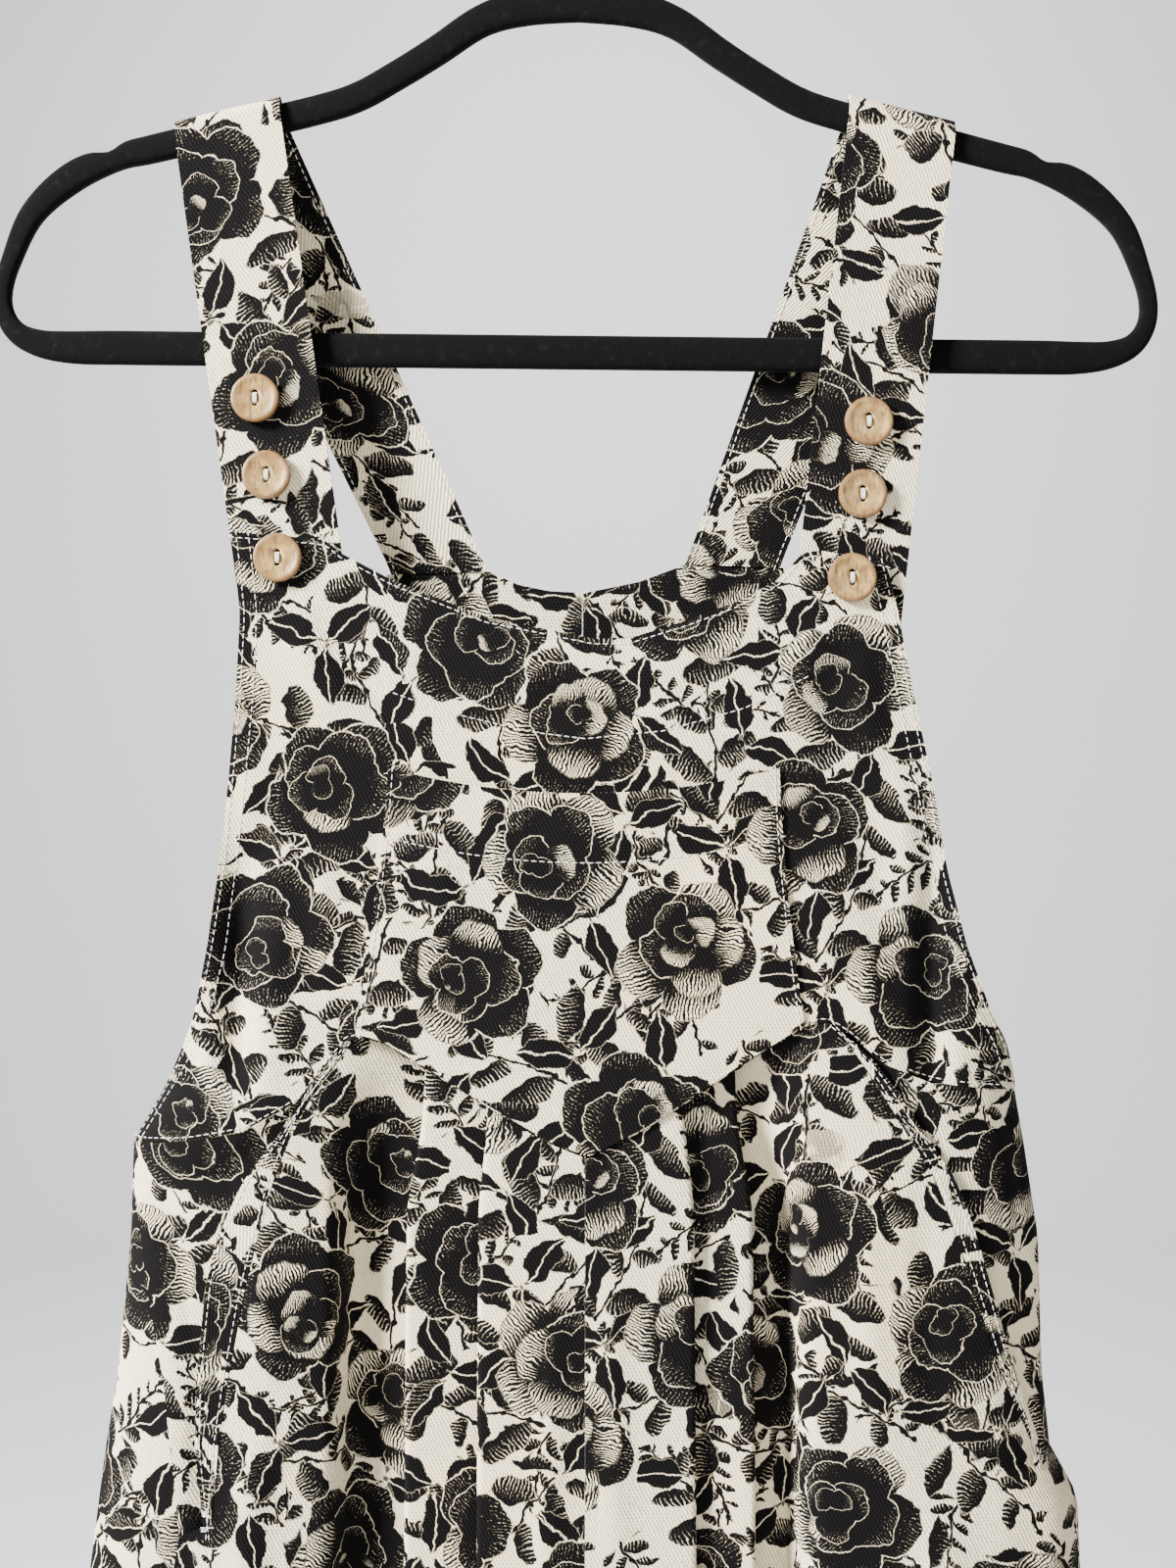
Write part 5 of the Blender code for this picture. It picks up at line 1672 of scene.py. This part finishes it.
def sew(name, lines, tree, look):
    """One piece of stitches that follow lines of points in millimetres."""
    sizes = bpy.context.scene.overalls_stitches
    curve = bpy.data.curves.new(name + "_path", "CURVE")
    curve.dimensions = "3D"
    for line in lines:
        spline = curve.splines.new("POLY")
        spline.points.add(len(line) - 1)
        for point, (x, y, z) in zip(spline.points, line):
            point.co = (x * MM, y * MM, z * MM, 1.0)
    path = bpy.data.objects.new(name + "_path", curve)
    bpy.context.scene.collection.objects.link(path)
    run = path.modifiers.new("stitches", "NODES")
    run.node_group = tree
    named = {item.name: item.identifier for item in tree.interface.items_tree if item.in_out == "INPUT"}
    values = {"Pitch": sizes.pitch, "Length": sizes.length, "Thickness": sizes.thickness, "Thread": look}
    for label, value in values.items():
        run[named[label]] = value
    mesh = evaluated_mesh(path)
    bpy.data.objects.remove(path, do_unlink=True)
    if not mesh.polygons:
        raise RuntimeError(f"no stitches were laid for {name}")
    mesh.shade_smooth()
    piece = bpy.data.objects.new(name, mesh)
    bpy.context.scene.collection.objects.link(piece)
    hang(piece, "printed_twill")


# Lines of stitches: the cloth that each follows, then its distances in millimetres from the first (0) or
# last (-1) row and column. Rows lie across the piece, columns run down it.
BAR_TACK_ROWS = ((-1, 2.0), (-1, 2.7), (-1, 3.4))
HEM_DEPTH = 22.0
STITCH_LINES = {
    "bib_topstitching": (
        ("bib_front_cloth", ((0, 2.0), (-1, 1.6)), ((0, 6.5), (-1, 6.5), (0, 1.8), (-1, 1.8))),
    ),
    "bib_pocket_topstitching": (("bib_pocket_cloth", ((0, 26.0),), ((0, 1.8), (-1, 1.8))),),
    "strap_topstitching": tuple((f"strap_{s}_band", ((0, 3.0),), ((0, 2.0), (-1, 2.0))) for s in SIDES),
    "pocket_mouth_topstitching": tuple(
        (f"pocket_band_{s}_cloth", BAR_TACK_ROWS, ((0, 1.7), (-1, 1.7))) for s in SIDES
    ),
    "back_topstitching": (
        ("back_bodice_left_cloth", ((0, 2.0), (0, 24.0), (-1, 1.6)), ((0, 2.0), (-1, 1.6))),
        ("back_bodice_right_cloth", ((0, 2.0), (0, 24.0), (-1, 1.6)), ((-1, 2.0), (0, 1.6))),
    ),
    "hem_stitching": tuple(
        (f"leg_{part}_{s}_cloth", ((-1, HEM_DEPTH),), ()) for s in SIDES for part in ("front", "back")
    ),
}

# Facing's stitch line across the bib: across, height; and its points
FACING_LINE = (
    (-77, -348.0), (-52, -357.0), (-20, -364.5), (0, -367.0), (30, -364.0), (60, -355.5), (83, -344.0),
)
FACING_POINTS = 60
THREAD_LIFT = 0.12


def edge_line(name, edge, inset, wall, down=False):
    """Line on a made piece's outer face, at a distance from an edge row or, with down, an edge column."""
    grid, across = CLOTH_GRIDS[name]
    normal = grid_normals(grid, across)
    if down:
        grid = grid.transpose(1, 0, 2)
        normal = normal.transpose(1, 0, 2)
    steps = inset / np.maximum(np.linalg.norm(grid[-2 if edge else 1] - grid[edge], axis=1), 1e-6)
    last = grid.shape[0] - 1
    line = []
    for c, step in enumerate(steps):
        place = last - step if edge else step
        low = int(np.clip(math.floor(place), 0, last - 1))
        t = within(place - low)
        point = grid[low, c] * (1 - t) + grid[low + 1, c] * t
        line.append(tuple(point + normal[low, c] * (wall / 2 + THREAD_LIFT)))
    return line


def facing_line(wall):
    """Line that holds the facing behind the bib's neck, laid over the creases."""
    line = []
    for x in np.linspace(FACING_LINE[0][0], FACING_LINE[-1][0], FACING_POINTS):
        z = column(FACING_LINE, x, 1)
        bump = float(crease_field(np.array([[(x, 0.0, z)]]), BIB_CREASES)[0, 0])
        line.append((x, bib_depth(x, z) - bump - wall / 2 - THREAD_LIFT, z))
    return line


def sew_run(name, tree, look):
    lines = []
    for cloth, rows, columns in STITCH_LINES[name]:
        wall = cloth_wall(cloth) / MM
        lines += [edge_line(cloth, edge, inset, wall) for edge, inset in rows]
        lines += [edge_line(cloth, edge, inset, wall, True) for edge, inset in columns]
    if name == "bib_topstitching":
        lines.append(facing_line(wall))
    sew(name, lines, tree, look)


def number_prop(label, text, default, low, high):
    limits = {"default": default, "min": low, "max": high}
    return FloatProperty(name=label, description=text, unit="LENGTH", precision=5, **limits)


def colour_prop(label, text, default):
    limits = {"default": default, "min": 0.0, "max": 1.0}
    return FloatVectorProperty(name=label, description=text, subtype="COLOR", **limits)


class OverallsClothSettings(bpy.types.PropertyGroup):
    thickness: number_prop("Cloth Thickness", "Thickness of one layer of twill", 0.0010, 0.0006, 0.002)
    strap_thickness: number_prop("Strap Thickness", "Thickness of the doubled straps", 0.0016, 0.001, 0.0025)
    rib_pitch: number_prop("Rib Pitch", "Distance from one rib of twill to the next", 0.00128, 0.0005, 0.003)
    rose_spacing: number_prop("Print Scale", "Size of the printed repeat", 0.078, 0.03, 0.2)
    cream: colour_prop("Cream", "Colour of the undyed cotton", (0.82, 0.715, 0.495))
    ink: colour_prop("Ink", "Colour of the printed motifs", (0.0035, 0.003, 0.003))


class OverallsStitchSettings(bpy.types.PropertyGroup):
    pitch: number_prop("Stitch Pitch", "Distance from one stitch to the next", 0.0030, 0.001, 0.01)
    length: number_prop("Stitch Length", "Length of thread that shows in one stitch", 0.0022, 0.0005, 0.008)
    thickness: number_prop("Thread Thickness", "Thickness of the sewing thread", 0.00042, 0.0001, 0.002)
    thread: colour_prop("Thread", "Colour of the sewing thread", (0.76, 0.73, 0.66))


class OverallsButtonSettings(bpy.types.PropertyGroup):
    tan: colour_prop("Shell", "Main colour of the coconut shell buttons", (0.23, 0.13, 0.034))


class OverallsHangerSettings(bpy.types.PropertyGroup):
    flock: colour_prop("Flock", "Colour of the hanger's flock", (0.0028, 0.0028, 0.003))


class OverallsStageSettings(bpy.types.PropertyGroup):
    drop: number_prop("Floor Drop", "Height of the floor below the hems", 0.12, 0.0, 1.0)
    ground: colour_prop("Ground", "Colour of the pale floor and backdrop", (0.82, 0.82, 0.81))


SETTINGS = {
    "overalls_cloth": OverallsClothSettings,
    "overalls_stitches": OverallsStitchSettings,
    "overalls_buttons": OverallsButtonSettings,
    "overalls_hanger": OverallsHangerSettings,
    "overalls_stage": OverallsStageSettings,
}


class OVERALLS_OT_looks(bpy.types.Operator):
    """Build the shared print and weave that the cloth pieces use"""

    bl_idname = "overalls.looks"
    bl_label = "Print and Weave"

    def execute(self, context):
        rose_print()
        twill_weave()
        return {"FINISHED"}


class OVERALLS_OT_hanger(bpy.types.Operator):
    """Build the flocked hanger and its wire hook"""

    bl_idname = "overalls.hanger"
    bl_label = "Hanger"

    def execute(self, context):
        make_hanger()
        make_hook()
        return {"FINISHED"}


class OVERALLS_OT_bib(bpy.types.Operator):
    """Build the front bodice and its patch pocket"""

    bl_idname = "overalls.bib"
    bl_label = "Bib and Pocket"

    def execute(self, context):
        make_bib()
        make_bib_pocket()
        return {"FINISHED"}


class OVERALLS_OT_back(bpy.types.Operator):
    """Build both halves of the back bodice"""

    bl_idname = "overalls.back"
    bl_label = "Back Bodice"

    def execute(self, context):
        for side in SIDES:
            make_back_bodice(side)
        return {"FINISHED"}


class OVERALLS_OT_straps(bpy.types.Operator):
    """Build both straps over the hanger's arms"""

    bl_idname = "overalls.straps"
    bl_label = "Straps"

    def execute(self, context):
        for side in SIDES:
            make_strap(side)
        return {"FINISHED"}


class OVERALLS_OT_legs(bpy.types.Operator):
    """Build the pleated fronts and the plain backs of the legs"""

    bl_idname = "overalls.legs"
    bl_label = "Legs"

    def execute(self, context):
        for side in SIDES:
            make_leg_front(side)
            make_leg_back(side)
        return {"FINISHED"}


class OVERALLS_OT_pockets(bpy.types.Operator):
    """Build the slanted pockets' under-layers and the bands at their mouths"""

    bl_idname = "overalls.pockets"
    bl_label = "Slanted Pockets"

    def execute(self, context):
        for side in SIDES:
            make_hip_yoke(side)
            make_pocket_band(side)
        return {"FINISHED"}


class OVERALLS_OT_buttons(bpy.types.Operator):
    """Build the six coconut shell buttons and the thread that holds them"""

    bl_idname = "overalls.buttons"
    bl_label = "Buttons"

    def execute(self, context):
        look = coconut_shell()
        thread = cotton_thread()
        for side in SIDES:
            for number in BUTTON_NUMBERS:
                make_button(side, number, look, thread)
        return {"FINISHED"}


class OVERALLS_OT_stitches(bpy.types.Operator):
    """Sew the topstitching of the bib, straps, pockets and back, and the hems"""

    bl_idname = "overalls.stitches"
    bl_label = "Topstitching"

    def execute(self, context):
        look = bpy.data.materials["cotton_thread"]
        tree = stitch_tree()
        for name in STITCH_LINES:
            sew_run(name, tree, look)
        return {"FINISHED"}


class OVERALLS_OT_stage(bpy.types.Operator):
    """Build the pale floor and backdrop, the soft lights and the camera"""

    bl_idname = "overalls.stage"
    bl_label = "Stage"

    def execute(self, context):
        build_backdrop(context.scene.overalls_stage)
        build_lights(context.scene)
        build_camera(context.scene)
        return {"FINISHED"}


# Backdrop in metres: half its width, its front edge, where its floor starts to curve up, the curve's
# radius and steps, and the top of the wall
STAGE_HALF = 5.0
STAGE_FRONT = -4.0
STAGE_CURVE_FROM = 4.2
STAGE_CURVE = 1.0
STAGE_CURVE_STEPS = 14
STAGE_TOP = 3.4

# Lights: name, place, what it faces, size, watts
LIGHTS = (
    ("window_light", (-1.6, -0.85, 0.6), (0.0, 0.0, -0.5), 0.5, 300.0),
    ("fill_light", (0.9, -2.1, 0.4), (0.0, 0.0, -0.5), 1.2, 30.0),
    ("back_light", (-1.3, 1.3, 0.9), (0.0, 0.0, -0.6), 1.0, 60.0),
    ("wall_light", (0.0, 2.6, 1.6), (0.0, 5.2, -0.3), 2.4, 120.0),
)
ROOM_COLOUR = (0.86, 0.9, 1.0, 1.0)
ROOM_STRENGTH = 0.28

# Camera in front of the hanger, level with the middle of the picture
CAMERA_PLACE = (0.0011, -0.800, -0.384)
CAMERA_LENS = 48.0
CAMERA_SENSOR = 36.0


def build_backdrop(sizes):
    made, tree, shader = new_material("pale_ground")
    cloud = noise(tree, object_place(tree), 2.0, 3.0)
    shade = mix_colour(tree, opaque(sizes.ground, 0.97), opaque(sizes.ground), cloud)
    fed(tree, shader, Base_Color=shade, Roughness=0.9)
    low = HEM_Z * MM - sizes.drop
    profile = [(STAGE_FRONT, low), (STAGE_CURVE_FROM, low)]
    for a in np.linspace(0.1, math.pi / 2, STAGE_CURVE_STEPS):
        rise = STAGE_CURVE * (1.0 - math.cos(a))
        profile.append((STAGE_CURVE_FROM + STAGE_CURVE * math.sin(a), low + rise))
    profile.append((STAGE_CURVE_FROM + STAGE_CURVE, STAGE_TOP))
    bm = bmesh.new()
    rows = [[bm.verts.new((x, y, z)) for x in (-STAGE_HALF, STAGE_HALF)] for y, z in profile]
    for one, two in zip(rows, rows[1:]):
        bm.faces.new((one[0], one[1], two[1], two[0]))
    finished("pale_backdrop", bm, [made])


def build_lights(scene):
    for name, spot, aim, size, watts in LIGHTS:
        data = bpy.data.lights.new(name, "AREA")
        data.size = size
        data.energy = watts
        lamp = bpy.data.objects.new(name, data)
        scene.collection.objects.link(lamp)
        lamp.location = spot
        lamp.rotation_euler = (Vector(aim) - Vector(spot)).to_track_quat("-Z", "Y").to_euler()
    world = bpy.data.worlds.new("soft_room")
    world.use_nodes = True
    fed(world.node_tree, world.node_tree.nodes["Background"], Color=ROOM_COLOUR, Strength=ROOM_STRENGTH)
    scene.world = world


def build_camera(scene):
    data = bpy.data.cameras.new("front_camera")
    data.lens = CAMERA_LENS
    data.sensor_width = CAMERA_SENSOR
    camera = bpy.data.objects.new("front_camera", data)
    scene.collection.objects.link(camera)
    camera.location = CAMERA_PLACE
    camera.rotation_euler = (math.pi / 2, 0.0, 0.0)
    scene.camera = camera


OPERATORS = (
    OVERALLS_OT_stage,
    OVERALLS_OT_looks,
    OVERALLS_OT_hanger,
    OVERALLS_OT_bib,
    OVERALLS_OT_back,
    OVERALLS_OT_straps,
    OVERALLS_OT_legs,
    OVERALLS_OT_pockets,
    OVERALLS_OT_buttons,
    OVERALLS_OT_stitches,
)


class OVERALLS_PT_pieces(bpy.types.Panel):
    """Lists the pieces of the overalls and their sizes and colours"""

    bl_label = "Pinafore Overalls"
    bl_idname = "OVERALLS_PT_pieces"
    bl_space_type = "VIEW_3D"
    bl_region_type = "UI"
    bl_category = "Overalls"

    def draw(self, context):
        for key, group in SETTINGS.items():
            box = self.layout.box()
            for name in group.__annotations__:
                box.prop(getattr(context.scene, key), name)
        for operator in OPERATORS:
            self.layout.operator(operator.bl_idname)


def register():
    for group in SETTINGS.values():
        bpy.utils.register_class(group)
    for operator in OPERATORS:
        bpy.utils.register_class(operator)
    bpy.utils.register_class(OVERALLS_PT_pieces)
    for key, group in SETTINGS.items():
        setattr(bpy.types.Scene, key, PointerProperty(type=group))


def unregister():
    for key in SETTINGS:
        delattr(bpy.types.Scene, key)
    bpy.utils.unregister_class(OVERALLS_PT_pieces)
    for operator in reversed(OPERATORS):
        bpy.utils.unregister_class(operator)
    for group in reversed(tuple(SETTINGS.values())):
        bpy.utils.unregister_class(group)


def main():
    register()
    for operator in OPERATORS:
        group, name = operator.bl_idname.split(".")
        getattr(getattr(bpy.ops, group), name)()


if __name__ == "__main__":
    main()
